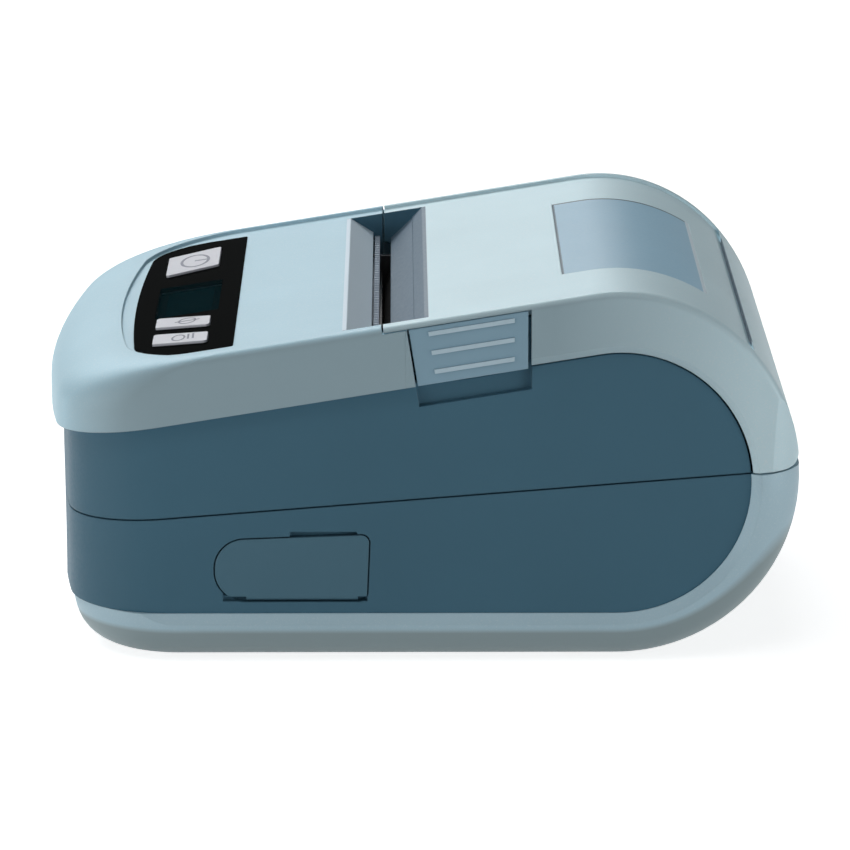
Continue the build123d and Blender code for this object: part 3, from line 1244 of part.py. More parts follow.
with BuildPart() as battery_door:
    block(
        DOOR_FRONT + PART_GAP, DOOR_REAR - PART_GAP, -DOOR_HALF + PART_GAP, DOOR_HALF - PART_GAP,
        PAD_PROUD, FLOOR,
    )
    block(
        DOOR_FRONT + DOOR_LEDGE + MOVING_GAP, DOOR_REAR - DOOR_LEDGE - MOVING_GAP,
        -DOOR_HALF + DOOR_LEDGE + 0.9, DOOR_HALF - DOOR_LEDGE - 0.9, FLOOR - 0.1, BATTERY_BOTTOM,
    )
    for step in range(5):
        x = DOOR_FRONT + 2.3 + 1.6 * step
        block(x, x + 0.8, -9, 9, 0, PAD_PROUD + 0.5, mode=Mode.SUBTRACT)
battery_door.part.label = "battery_door"
export_step(battery_door.part, "parts/battery_door.step")

# Mechanism frame: two side plates, floor and back beam, notched for the platen's bushes
with BuildPart() as mechanism_frame:
    shoulder = [(FRAME_REAR, PLATEN_Z + 1.6), (FRAME_REAR - 4.0, FRAME_TOP), (FRAME_FRONT, FRAME_TOP)]
    motor_front = PINION_X - MOTOR_RADIUS - 1.9
    motor_low = PINION_Z - MOTOR_RADIUS - 1.0
    motor_high = PINION_Z + MOTOR_RADIUS + 2.0
    prism([(FRAME_FRONT, FRAME_FLOOR), (FRAME_REAR, FRAME_FLOOR), *shoulder], -PLATE_OUTER, -PLATE_INNER)
    prism(
        [
            (motor_front, motor_low), (PINION_X + MOTOR_RADIUS + 1.6, motor_low), (FRAME_REAR, FRAME_FLOOR),
            *shoulder, (FRAME_FRONT, motor_high), (motor_front, motor_high),
        ],
        PLATE_INNER, PLATE_OUTER,
    )
    inner = PLATE_INNER + 0.1
    block(FRAME_FRONT, FRAME_REAR, -inner, inner, FRAME_FLOOR, FRAME_FLOOR + BEAM)
    block(FRAME_FRONT, BEAM_FACE, -inner, inner, FRAME_FLOOR, BEAM_TOP)
    block(
        motor_front - 1, PINION_X + MOTOR_RADIUS + 1.1, MOTOR_INNER - 0.5, PLATE_INNER,
        motor_low - 1, PINION_Z + MOTOR_RADIUS + 0.7, mode=Mode.SUBTRACT,
    )
    bush = BUSH_RADIUS + RUNNING_FIT
    prism(
        [
            (PLATEN_X - bush, PLATEN_Z), (PLATEN_X + bush, PLATEN_Z),
            (PLATEN_X + bush + 4, PLATEN_Z + 10), (PLATEN_X - bush, PLATEN_Z + 10),
        ],
        -PLATE_OUTER - 1, PLATE_OUTER + 1, mode=Mode.SUBTRACT,
    )
    rod(PLATEN_X, PLATEN_Z, bush, -PLATE_OUTER - 1, PLATE_OUTER + 1, mode=Mode.SUBTRACT)
    rod(REDUCTION_X, REDUCTION_Z, AXLE_RADIUS, PLATE_INNER - 1, PLATE_OUTER + 1, mode=Mode.SUBTRACT)
    rod(PINION_X, PINION_Z, MOTOR_BOSS + 0.4, PLATE_INNER - 1, PLATE_OUTER + 1, mode=Mode.SUBTRACT)
    for x, y in FRAME_SPOTS:
        post(x, y, SCREW_SHANK + 0.1, FRAME_FLOOR - 1, FRAME_FLOOR + BEAM + 1, mode=Mode.SUBTRACT)
mechanism_frame.part.label = "mechanism_frame"
export_step(mechanism_frame.part, "parts/mechanism_frame.step")

# Thermal head: finned heat sink, ceramic heater strip and the leaf spring that presses it
with BuildPart() as head_sink:
    block(SINK_FRONT, SINK_FACE, -HEAD_HALF, HEAD_HALF, PLATEN_Z - 7.4, PLATEN_Z + 4.6)
    for y in (-34, -17, 0, 17, 34):
        for side in (-1, 1):
            block(
                SINK_FRONT - 0.5, SINK_FRONT + 1.2, *span(side, 0.6 + side * y, 3.4 + side * y),
                PLATEN_Z + 1.6, FRAME_TOP, mode=Mode.SUBTRACT,
            )
head_sink.part.label = "head_sink"
export_step(head_sink.part, "parts/head_sink.step")

with BuildPart() as heater_strip:
    block(SINK_FACE, CERAMIC_FACE, -HEAD_HALF + 0.5, HEAD_HALF - 0.5, PLATEN_Z - 4.0, PLATEN_Z + 4.0)
    block(
        CERAMIC_FACE - 0.05, HEAD_FACE, -PLATEN_HALF + PART_GAP, PLATEN_HALF - PART_GAP,
        PLATEN_Z - 0.8, PLATEN_Z + 0.8,
    )
heater_strip.part.label = "heater_strip"
export_step(heater_strip.part, "parts/heater_strip.step")

with BuildPart() as head_spring:
    prism(
        [
            (BEAM_FACE, PLATEN_Z - 6.4), (BEAM_FACE + LEAF, PLATEN_Z - 6.4),
            (BEAM_FACE + LEAF, PLATEN_Z - 3.2), (SINK_FRONT, PLATEN_Z - 1.2),
            (SINK_FRONT, PLATEN_Z + 0.2), (SINK_FRONT - LEAF, PLATEN_Z + 0.2),
            (SINK_FRONT - LEAF, PLATEN_Z - 1.0), (BEAM_FACE, PLATEN_Z - 3.0),
        ],
        -25, 25,
    )
head_spring.part.label = "head_spring"
export_step(head_spring.part, "parts/head_spring.step")

# Serrated tear bar along the slit
with BuildPart() as tear_bar:
    blade_top = TROUGH_FLOOR + BLADE_RAISE
    blade_half = TROUGH_HALF - LATCH_GAP
    base_half = PLATE_INNER - PART_GAP
    block(FRAME_FRONT, BLADE_REAR, -base_half, base_half, BEAM_TOP, BEAM_TOP + BLADE_THICK)
    block(BLADE_FRONT, BLADE_REAR, -base_half, base_half, BEAM_TOP, blade_top)
    block(BLADE_FRONT, BLADE_REAR, -blade_half, blade_half, blade_top - 2.8, blade_top)
    with BuildSketch(Plane(origin=(BLADE_FRONT - 1, 0, blade_top), x_dir=(0, 1, 0), z_dir=(1, 0, 0))):
        with GridLocations(BLADE_PITCH, 1, int(2 * blade_half / BLADE_PITCH), 1):
            Polygon((-BLADE_NOTCH, 0.01), (0, -BLADE_NOTCH), (BLADE_NOTCH, 0.01), align=None)
    extrude(amount=BLADE_THICK + 2, mode=Mode.SUBTRACT)
tear_bar.part.label = "tear_bar"
export_step(tear_bar.part, "parts/tear_bar.step")

# Stepper motor behind the far side plate, with its flange
with BuildPart() as stepper_motor:
    flange = PLATE_INNER - FLANGE_THICK
    rod(PINION_X, PINION_Z, MOTOR_RADIUS, MOTOR_INNER, PLATE_INNER)
    block(
        PINION_X - FLANGE_HALF, PINION_X + MOTOR_RADIUS + 0.8, flange, PLATE_INNER,
        PINION_Z - FLANGE_EAR, PINION_Z + FLANGE_EAR,
    )
    rod(PINION_X, PINION_Z, MOTOR_BOSS, PLATE_INNER - 0.1, PLATE_OUTER - PART_GAP)
    rod(PINION_X, PINION_Z, MOTOR_SHAFT + RUNNING_FIT, MOTOR_INNER + 6, PLATE_OUTER, mode=Mode.SUBTRACT)
stepper_motor.part.label = "stepper_motor"
export_step(stepper_motor.part, "parts/stepper_motor.step")

# Gear train on the far side: motor pinion, reduction gear on its axle, platen gear
with BuildPart() as motor_pinion:
    toward = bearing(PINION_X, PINION_Z, REDUCTION_X, REDUCTION_Z) + math.pi / PINION_TEETH
    start = LARGE_START - PART_GAP
    prism(gear_outline(PINION_TEETH, PINION_X, PINION_Z, toward), start, start + PINION_FACE)
    rod(PINION_X, PINION_Z, MOTOR_SHAFT, MOTOR_INNER + 7, start + PINION_FACE)
    rod(PINION_X, PINION_Z, 2 * MOTOR_SHAFT, PLATE_OUTER + 1, start + 0.1)
motor_pinion.part.label = "motor_pinion"
export_step(motor_pinion.part, "parts/motor_pinion.step")

with BuildPart() as reduction_gear:
    toward = bearing(REDUCTION_X, REDUCTION_Z, PINION_X, PINION_Z)
    prism(gear_outline(LARGE_TEETH, REDUCTION_X, REDUCTION_Z, toward), LARGE_START, LARGE_END)
    toward = bearing(REDUCTION_X, REDUCTION_Z, PLATEN_X, PLATEN_Z) + math.pi / SMALL_TEETH
    prism(gear_outline(SMALL_TEETH, REDUCTION_X, REDUCTION_Z, toward), SMALL_START, LARGE_START + 0.1)
    rod(REDUCTION_X, REDUCTION_Z, AXLE_RADIUS + RUNNING_FIT, PLATE_INNER, AXLE_END + 1, mode=Mode.SUBTRACT)
reduction_gear.part.label = "reduction_gear"
export_step(reduction_gear.part, "parts/reduction_gear.step")

with BuildPart() as gear_axle:
    rod(REDUCTION_X, REDUCTION_Z, AXLE_RADIUS, PLATE_INNER, AXLE_END)
    rod(REDUCTION_X, REDUCTION_Z, AXLE_HEAD, AXLE_END - 0.1, AXLE_END + 0.2)
gear_axle.part.label = "gear_axle"
export_step(gear_axle.part, "parts/gear_axle.step")

with BuildPart() as platen_gear:
    toward = bearing(PLATEN_X, PLATEN_Z, REDUCTION_X, REDUCTION_Z)
    start = SMALL_START + GEAR_GAP
    prism(gear_outline(PLATEN_TEETH, PLATEN_X, PLATEN_Z, toward), start, start + PLATEN_FACE)
    rod(PLATEN_X, PLATEN_Z, SHAFT_RADIUS, PLATE_OUTER, start + PLATEN_FACE + 1, mode=Mode.SUBTRACT)
platen_gear.part.label = "platen_gear"
export_step(platen_gear.part, "parts/platen_gear.step")

with BuildPart() as platen_shaft:
    rod(
        PLATEN_X, PLATEN_Z, SHAFT_RADIUS, -PLATE_OUTER - SHAFT_END, SMALL_START + GEAR_GAP + PLATEN_FACE + 0.1
    )
    chamfer(platen_shaft.faces().sort_by(Axis.Y)[0].edges(), 0.4)
    chamfer(platen_shaft.faces().sort_by(Axis.Y)[-1].edges(), 0.4)
platen_shaft.part.label = "platen_shaft"
export_step(platen_shaft.part, "parts/platen_shaft.step")

with BuildPart() as platen_roller:
    rod(PLATEN_X, PLATEN_Z, PLATEN_RADIUS, -PLATEN_HALF, PLATEN_HALF)
    rod(PLATEN_X, PLATEN_Z, SHAFT_RADIUS, -PLATE_OUTER, PLATE_OUTER, mode=Mode.SUBTRACT)
platen_roller.part.label = "platen_roller"
export_step(platen_roller.part, "parts/platen_roller.step")

# Carrier under the lid that holds the platen's two bushes
with BuildPart() as platen_carrier:
    front = TROUGH_BACK + 2.8
    deck_prism(front, front + 11.5, LID_WALL, LID_WALL + 1.3, -EAR_END, EAR_END)
    for side in (-1, 1):
        ear = span(side, EAR_START, EAR_END)
        prism(
            [
                (PLATEN_X - 3.9, PLATEN_Z + 1.6), deck_point(front, LID_WALL + 0.8),
                deck_point(front + 8.5, LID_WALL + 0.8), (PLATEN_X + 4.4, PLATEN_Z - 1.8),
                (PLATEN_X, PLATEN_Z - 2.4),
            ],
            *ear,
        )
        rod(PLATEN_X, PLATEN_Z, EAR_RADIUS, *ear)
        rod(PLATEN_X, PLATEN_Z, BUSH_SPIGOT, *ear, mode=Mode.SUBTRACT)
platen_carrier.part.label = "platen_carrier"
export_step(platen_carrier.part, "parts/platen_carrier.step")

with BuildPart() as bush_near:
    add(bush_part(-1))
bush_near.part.label = "bush_near"
export_step(bush_near.part, "parts/bush_near.step")

with BuildPart() as bush_far:
    add(bush_part(1))
bush_far.part.label = "bush_far"
export_step(bush_far.part, "parts/bush_far.step")

# Cradle the paper roll lies in
with BuildPart() as roll_cradle:
    rod(AXIS_X, AXIS_Z, CRADLE_RADIUS, -CHEEK_OUTER, CHEEK_OUTER)
    block(
        CRADLE_FRONT - 1, REAR_X, -HALF_WIDTH, HALF_WIDTH, AXIS_Z + CRADLE_RIM, AXIS_Z + FAR,
        mode=Mode.SUBTRACT,
    )
    block(CRADLE_FRONT, CRADLE_FRONT + CRADLE_WALL, -CHEEK_OUTER, CHEEK_OUTER, AXIS_Z, AXIS_Z + CRADLE_LIP)
    rod(AXIS_X, AXIS_Z, ROLL_RADIUS - CHEEK_DROP, -CHEEK_OUTER, CHEEK_OUTER)
    rod(AXIS_X, AXIS_Z, ROLL_RADIUS, -CRADLE_HALF, CRADLE_HALF, mode=Mode.SUBTRACT)
roll_cradle.part.label = "roll_cradle"
export_step(roll_cradle.part, "parts/roll_cradle.step")

with BuildPart() as paper_sensor:
    base = FRAME_FLOOR + BEAM
    block(FRAME_REAR - 8.5, FRAME_REAR - 1.5, -4, 4, base, base + 6.5)
    block(FRAME_REAR - 5.5, FRAME_REAR - 1.0, -2.5, 2.5, base + 5.5, base + 12.5)
paper_sensor.part.label = "paper_sensor"
export_step(paper_sensor.part, "parts/paper_sensor.step")

with BuildPart() as lid_switch:
    plate = -PLATE_OUTER
    block(FRAME_FRONT + 1.5, FRAME_FRONT + 7.5, plate - 3.4, plate, PLATEN_Z - 2.4, PLATEN_Z + 2.6)
    block(FRAME_FRONT + 3.6, FRAME_FRONT + 5.4, plate - 2.2, plate - 1.2, PLATEN_Z + 2.5, PLATEN_Z + 3.8)
lid_switch.part.label = "lid_switch"
export_step(lid_switch.part, "parts/lid_switch.step")

# Screws that hold the cases together from below
with BuildPart() as case_screw_a:
    add(screw_part(*SCREW_SPOTS[0]))
case_screw_a.part.label = "case_screw_a"
export_step(case_screw_a.part, "parts/case_screw_a.step")

with BuildPart() as case_screw_b:
    add(screw_part(*SCREW_SPOTS[1]))
case_screw_b.part.label = "case_screw_b"
export_step(case_screw_b.part, "parts/case_screw_b.step")

with BuildPart() as case_screw_c:
    add(screw_part(*SCREW_SPOTS[2]))
case_screw_c.part.label = "case_screw_c"
export_step(case_screw_c.part, "parts/case_screw_c.step")

with BuildPart() as case_screw_d:
    add(screw_part(*SCREW_SPOTS[3]))
case_screw_d.part.label = "case_screw_d"
export_step(case_screw_d.part, "parts/case_screw_d.step")

# Rubber feet
with BuildPart() as foot_pad_a:
    add(pad_part(*PAD_SPOTS[0]))
foot_pad_a.part.label = "foot_pad_a"
export_step(foot_pad_a.part, "parts/foot_pad_a.step")

with BuildPart() as foot_pad_b:
    add(pad_part(*PAD_SPOTS[1]))
foot_pad_b.part.label = "foot_pad_b"
export_step(foot_pad_b.part, "parts/foot_pad_b.step")

with BuildPart() as foot_pad_c:
    add(pad_part(*PAD_SPOTS[2]))
foot_pad_c.part.label = "foot_pad_c"
export_step(foot_pad_c.part, "parts/foot_pad_c.step")

with BuildPart() as foot_pad_d:
    add(pad_part(*PAD_SPOTS[3]))
foot_pad_d.part.label = "foot_pad_d"
export_step(foot_pad_d.part, "parts/foot_pad_d.step")
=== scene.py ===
import math

import bmesh
import bpy
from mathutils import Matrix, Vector


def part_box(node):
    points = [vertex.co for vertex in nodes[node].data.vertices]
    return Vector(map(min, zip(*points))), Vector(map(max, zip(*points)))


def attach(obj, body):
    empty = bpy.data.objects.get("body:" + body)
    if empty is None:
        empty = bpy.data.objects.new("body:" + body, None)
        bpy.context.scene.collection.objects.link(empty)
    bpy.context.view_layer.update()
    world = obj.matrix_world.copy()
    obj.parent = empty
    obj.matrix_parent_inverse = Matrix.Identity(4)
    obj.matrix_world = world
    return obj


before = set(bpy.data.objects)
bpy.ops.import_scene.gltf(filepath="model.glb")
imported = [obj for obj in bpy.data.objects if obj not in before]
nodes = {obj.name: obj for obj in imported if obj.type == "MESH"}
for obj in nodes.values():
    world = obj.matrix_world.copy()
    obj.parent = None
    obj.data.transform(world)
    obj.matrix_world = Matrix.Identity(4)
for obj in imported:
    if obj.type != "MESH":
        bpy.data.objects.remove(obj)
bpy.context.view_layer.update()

# Sizes are in metres, in the frame's axes: X to the hinge end, Y to the far side, Z up
MM = 0.001

# The deck is a plane that rises towards the hinge; the paper trough is cut across it
DECK_SLOPE = 0.162
DECK_HEIGHT = 63.07 * MM
TROUGH_FRONT = -13.7 * MM
TROUGH_BACK = 1.7 * MM
TROUGH_HALF = 47.3 * MM
TROUGH_DEPTH = 30 * MM

# Ranges that a value is read over or turned into; noise stays mostly within its spread
RISING = (0.0, 1.0)
FALLING = (1.0, 0.0)
NOISE_SPREAD = (0.3, 0.7)

WHITE = (1, 1, 1, 1)
EVEN = (1, 1, 1)


def srgb(red, green, blue):
    """Linear colour from the 0 to 255 values seen on a screen, by the screen's standard curve."""
    linear = []
    for value in (red, green, blue):
        value /= 255
        linear.append(value / 12.92 if value <= 0.04045 else ((value + 0.055) / 1.055) ** 2.4)
    return (*linear, 1.0)


def shade(colour, change):
    """The colour made lighter or darker by a factor."""
    return (*[min(1.0, part * change) for part in colour[:3]], 1.0)


def around(value, below, above):
    """Range that reaches a little below and above a value."""
    return value - below, value + above


# Materials

# A mix node has sockets of several kinds under the same names, so these are told apart by number
MIX_FACTOR = 0
MIX_FIRST = 6
MIX_SECOND = 7
MIX_RESULT = 2

# How far the softened normal still agrees with the true one, beside an edge and on it
EDGE_AGREEMENT = (0.99, 0.8)
EDGE_SAMPLES = 6


class Shader:
    """A material being built: its node tree with short ways to add and link nodes."""

    def __init__(self, name):
        self.material = bpy.data.materials.new(name)
        self.material.use_nodes = True
        self.tree = self.material.node_tree
        self.surface = self.tree.nodes["Principled BSDF"]
        self.place = self.add("ShaderNodeTexCoord").outputs["Object"]

    def add(self, kind, **settings):
        """A new node with its settings."""
        node = self.tree.nodes.new(kind)
        for name, value in settings.items():
            setattr(node, name, value)
        return node

    def feed(self, socket, value):
        """Links another socket to this one, or writes a plain value in it."""
        if isinstance(value, bpy.types.NodeSocket):
            self.tree.links.new(value, socket)
        else:
            socket.default_value = value

    def put(self, name, value):
        """Gives the surface one of its values."""
        self.feed(self.surface.inputs[name], value)

    def noise(self, scale, detail=2.0, stretch=EVEN):
        """Noise in the object's own space, with this many grains to the metre."""
        mapping = self.add("ShaderNodeMapping")
        texture = self.add("ShaderNodeTexNoise")
        self.feed(mapping.inputs["Vector"], self.place)
        self.feed(mapping.inputs["Scale"], stretch)
        self.feed(texture.inputs["Vector"], mapping.outputs["Vector"])
        self.feed(texture.inputs["Scale"], scale)
        self.feed(texture.inputs["Detail"], detail)
        return texture.outputs["Fac"]

    def remap(self, value, source, target):
        """The value carried over from one range to another, and held at its ends."""
        node = self.add("ShaderNodeMapRange")
        self.feed(node.inputs["Value"], value)
        self.feed(node.inputs["From Min"], source[0])
        self.feed(node.inputs["From Max"], source[1])
        self.feed(node.inputs["To Min"], target[0])
        self.feed(node.inputs["To Max"], target[1])
        return node.outputs["Result"]

    def compute(self, operation, *values):
        """The result of an operation on sockets and plain values, such as MULTIPLY."""
        node = self.add("ShaderNodeMath", operation=operation)
        for socket, value in zip(node.inputs, values):
            self.feed(socket, value)
        return node.outputs[0]

    def times(self, first, second):
        return self.compute("MULTIPLY", first, second)

    def parts(self, vector):
        """X, Y and Z of a vector."""
        node = self.add("ShaderNodeSeparateXYZ")
        self.feed(node.inputs[0], vector)
        return node.outputs

    def axes(self):
        """X, Y and Z of the point on the object, in metres."""
        return self.parts(self.place)

    def facing(self):
        """X, Y and Z of the way that the surface faces."""
        return self.parts(self.add("ShaderNodeTexCoord").outputs["Normal"])

    def between(self, value, low, high, soft=0.05 * MM):
        """1 where the value lies from low to high, fading over soft."""
        rise = self.remap(value, around(low, soft, soft), RISING)
        return self.times(rise, self.remap(value, around(high, soft, soft), FALLING))

    def below_deck(self):
        """Upright distance from the sloping deck down to the point."""
        x, _, z = self.axes()
        return self.compute("SUBTRACT", self.compute("MULTIPLY_ADD", x, DECK_SLOPE, DECK_HEIGHT), z)

    def mix(self, factor, first, second):
        """The first colour at factor 0 and the second at 1."""
        node = self.add("ShaderNodeMix", data_type="RGBA")
        self.feed(node.inputs[MIX_FACTOR], factor)
        self.feed(node.inputs[MIX_FIRST], first)
        self.feed(node.inputs[MIX_SECOND], second)
        return node.outputs[MIX_RESULT]

    def rounded(self, radius):
        """Normal with the sharp edges softened, and a mask that is 1 on those edges."""
        bevel = self.add("ShaderNodeBevel", samples=EDGE_SAMPLES)
        self.feed(bevel.inputs["Radius"], radius)
        dot = self.add("ShaderNodeVectorMath", operation="DOT_PRODUCT")
        self.feed(dot.inputs[0], bevel.outputs["Normal"])
        self.feed(dot.inputs[1], self.add("ShaderNodeNewGeometry").outputs["Normal"])
        return bevel.outputs["Normal"], self.remap(dot.outputs["Value"], EDGE_AGREEMENT, RISING)

    def bump(self, height, strength, distance, normal):
        """The normal ruffled by a height."""
        node = self.add("ShaderNodeBump")
        self.feed(node.inputs["Strength"], strength)
        self.feed(node.inputs["Distance"], distance)
        self.feed(node.inputs["Height"], height)
        self.feed(node.inputs["Normal"], normal)
        return node.outputs["Normal"]


CLOUD_GRAIN = 28
CLOUD_DETAIL = 3.0
CLOUD_DARK = 0.965
CLOUD_LIGHT = 1.03
MOULD_GRAIN = 1600
MOULD_GRAIN_HEIGHT = 0.02 * MM
MOULD_EDGE = 0.3 * MM
MOULD_VARIATION = (0.05, 0.06)
FLAKE_GRAIN = 3200
FLAKE_SPREAD = (0.55, 0.75)
WEAR_SPREAD = (0.35, 0.65)
WEAR_AMOUNT = (0.05, 0.35)
WEAR_LIGHT = 1.35


def moulded(name, colour, roughness=0.42, metallic=0.0, edge=MOULD_EDGE, sparkle=0.0, gloss=0.5,
            relief=0.12, alpha=1.0, patches=()):
    """Injection-moulded plastic: fine grain, cloudy tone, slightly rubbed edges."""
    shader = Shader(name)
    cloud = shader.noise(CLOUD_GRAIN, CLOUD_DETAIL)
    fine = shader.noise(MOULD_GRAIN)
    normal, mask = shader.rounded(edge)
    cloudy = shader.remap(cloud, NOISE_SPREAD, RISING)
    tone = shader.mix(cloudy, shade(colour, CLOUD_DARK), shade(colour, CLOUD_LIGHT))
    if sparkle:
        flakes = shader.noise(FLAKE_GRAIN, detail=1.0)
        tone = shader.mix(shader.remap(flakes, FLAKE_SPREAD, (0.0, sparkle)), tone, WHITE)
    worn = shader.times(mask, shader.remap(cloud, WEAR_SPREAD, WEAR_AMOUNT))
    tone = shader.mix(worn, tone, shade(colour, WEAR_LIGHT))
    # The patches lay tones of their own on chosen places, among them painted light and painted shade
    for region, patch_colour in patches:
        tone = shader.mix(region(shader), tone, patch_colour)
    shader.put("Base Color", tone)
    shader.put("Roughness", shader.remap(fine, NOISE_SPREAD, around(roughness, *MOULD_VARIATION)))
    shader.put("Metallic", metallic)
    shader.put("Specular IOR Level", gloss)
    shader.put("Alpha", alpha)
    shader.put("Normal", shader.bump(fine, relief, MOULD_GRAIN_HEIGHT, normal))
    return shader.material


STREAK_GRAIN = 900
STREAK_DETAIL = 3.0
STREAK_RELIEF = 0.15
STREAK_HEIGHT = 0.02 * MM
METAL_EDGE = 0.12 * MM
METAL_VARIATION = (0.08, 0.1)
TARNISH_GRAIN = 60
TARNISH_DARK = 0.86
TARNISH_LIGHT = 1.08
RUBBED_LIGHT = 1.3


def metal(name, colour, roughness=0.3, brushed=EVEN, metallic=1.0):
    """Metal with a directional grain, brighter where edges are rubbed."""
    shader = Shader(name)
    streaks = shader.noise(STREAK_GRAIN, STREAK_DETAIL, brushed)
    cloud = shader.noise(TARNISH_GRAIN)
    normal, mask = shader.rounded(METAL_EDGE)
    cloudy = shader.remap(cloud, NOISE_SPREAD, RISING)
    tone = shader.mix(cloudy, shade(colour, TARNISH_DARK), shade(colour, TARNISH_LIGHT))
    shader.put("Base Color", shader.mix(mask, tone, shade(colour, RUBBED_LIGHT)))
    shader.put("Metallic", metallic)
    shader.put("Roughness", shader.remap(streaks, NOISE_SPREAD, around(roughness, *METAL_VARIATION)))
    shader.put("Normal", shader.bump(streaks, STREAK_RELIEF, STREAK_HEIGHT, normal))
    return shader.material


GRIND_GRAIN = 2200
GRIND_STRETCH = (1, 0.2, 1)
GRIND_RELIEF = 0.35
GRIND_HEIGHT = 0.03 * MM
RUBBER_EDGE = 0.2 * MM
RUBBER_VARIATION = (0.06, 0.08)
DUST_GRAIN = 90
DUST_DETAIL = 4.0
DUST_SPREAD = (0.4, 0.8)
DUST_AMOUNT = (0.0, 0.5)
DUST_LIGHT = 2.2


def rubber(name, colour, roughness=0.78):
    """Rubber: matt, faintly dusty, with a ground surface."""
    shader = Shader(name)
    grind = shader.noise(GRIND_GRAIN, stretch=GRIND_STRETCH)
    dust = shader.noise(DUST_GRAIN, DUST_DETAIL)
    normal, _ = shader.rounded(RUBBER_EDGE)
    dusty = shader.remap(dust, DUST_SPREAD, DUST_AMOUNT)
    shader.put("Base Color", shader.mix(dusty, colour, shade(colour, DUST_LIGHT)))
    shader.put("Roughness", shader.remap(grind, NOISE_SPREAD, around(roughness, *RUBBER_VARIATION)))
    shader.put("Normal", shader.bump(grind, GRIND_RELIEF, GRIND_HEIGHT, normal))
    return shader.material


TRACK_SCALE = 160
TRACK_WIDTH = 0.035
TRACK_LIGHT = 1.9
FIELD_DARK = 0.8
BOARD_EDGE = 0.15 * MM
LACQUER_GRAIN = 700
LACQUER_ROUGHNESS = (0.25, 0.4)


def board(name, colour):
    """Circuit board lacquer over faint copper tracks."""
    shader = Shader(name)
    tracks = shader.add("ShaderNodeTexBrick", offset=0.5)
    shader.feed(tracks.inputs["Vector"], shader.place)
    shader.feed(tracks.inputs["Scale"], TRACK_SCALE)
    shader.feed(tracks.inputs["Mortar Size"], TRACK_WIDTH)
    shader.feed(tracks.inputs["Mortar"], shade(colour, TRACK_LIGHT))
    shader.feed(tracks.inputs["Color1"], colour)
    shader.feed(tracks.inputs["Color2"], shade(colour, FIELD_DARK))
    normal, _ = shader.rounded(BOARD_EDGE)
    shader.put("Base Color", tracks.outputs["Color"])
    shader.put("Roughness", shader.remap(shader.noise(LACQUER_GRAIN), NOISE_SPREAD, LACQUER_ROUGHNESS))
    shader.put("Normal", normal)
    return shader.material


RIPPLE_GRAIN = 120
RIPPLE_RELIEF = 0.05
RIPPLE_HEIGHT = 0.2 * MM
SHEET_EDGE = 0.2 * MM
SHEET_VARIATION = (0.0, 0.06)
SPECK_GRAIN = 1500
SPECK_SPREAD = (0.6, 0.8)
SPECK_AMOUNT = (0.0, 0.1)
SPECK_LIGHT = 1.8
SPECK_ROUGHNESS_SPREAD = (0.3, 0.8)


def glossy(name, colour, roughness=0.06, gloss=0.3, alpha=1.0):
    """Polished sheet with the faint ripple and dust that polished plastic has."""
    shader = Shader(name)
    ripple = shader.noise(RIPPLE_GRAIN, detail=1.0)
    specks = shader.noise(SPECK_GRAIN)
    normal, _ = shader.rounded(SHEET_EDGE)
    specked = shader.remap(specks, SPECK_SPREAD, SPECK_AMOUNT)
    shader.put("Base Color", shader.mix(specked, colour, shade(colour, SPECK_LIGHT)))
    shader.put("Roughness", shader.remap(specks, SPECK_ROUGHNESS_SPREAD, around(roughness, *SHEET_VARIATION)))
    shader.put("Specular IOR Level", gloss)
    shader.put("Alpha", alpha)
    shader.put("Normal", shader.bump(ripple, RIPPLE_RELIEF, RIPPLE_HEIGHT, normal))
    return shader.material


# Places on a piece that have a tone of their own, most of them painted light or painted shade

# Painted shade on the covers' upright sides: the outward part of the normal from a cover's ridge to its
# upright side, and where along X the painted shade fades
BAND_TURN = (0.45, 0.95)
BAND_FADE = (24 * MM, 60 * MM)
BAND_REAR_SHARE = 0.15

# The parts of a rib's normal that tell its front, which gets a painted highlight, from the leaning plate
RIB_UPRIGHT = (0.055, 0.035)
RIB_OUTWARD = (0.9, 0.97)

# How much of the frame's normal points down, at its bevel and just below it, where the painted shade comes in
UNDER_TURN = (-0.2, -0.32)

# The crease crosses the lid's plate behind the window
CREASE_X = 59.6 * MM
CREASE_HALF = 43 * MM
CREASE_AHEAD = 0.3 * MM
CREASE_BEHIND = 0.15 * MM
CREASE_SOFT = 0.1 * MM
CREASE_END_SOFT = 1 * MM

# The trough's walls and ends take their painted light and shade from a little below the deck
TROUGH_LIP = 0.25 * MM
END_WALL_LIP = 0.3 * MM
END_WALL_INNER = TROUGH_HALF - 0.06 * MM
END_WALL_OUTER = TROUGH_HALF + 0.1 * MM
END_WALL_SOFT = 0.02 * MM

# Distances in from the window's far, front and rear edges
WINDOW_FAR_LINE = (0.9 * MM, 0.6 * MM)
WINDOW_FRONT_LINE = (0.25 * MM, 0.4 * MM)
WINDOW_REAR_LINE = (0.7 * MM, 0.6 * MM)


def trough(shader):
    """The sloping walls of the paper trough, with painted light on the front wall and painted shade on the
    rear wall.
    """
    x, y, _ = shader.axes()
    across = shader.times(
        shader.between(x, TROUGH_FRONT, TROUGH_BACK), shader.between(y, -TROUGH_HALF, TROUGH_HALF)
    )
    return shader.times(across, shader.between(shader.below_deck(), TROUGH_LIP, TROUGH_DEPTH))


def trough_ends_shade(shader):
    """Painted shade on the upright end walls of the paper trough."""
    x, y, _ = shader.axes()
    across = shader.between(x, TROUGH_FRONT, TROUGH_BACK)
    at_wall = shader.between(shader.compute("ABSOLUTE", y), END_WALL_INNER, END_WALL_OUTER, END_WALL_SOFT)
    deep = shader.between(shader.below_deck(), END_WALL_LIP, TROUGH_DEPTH)
    return shader.times(shader.times(across, at_wall), deep)


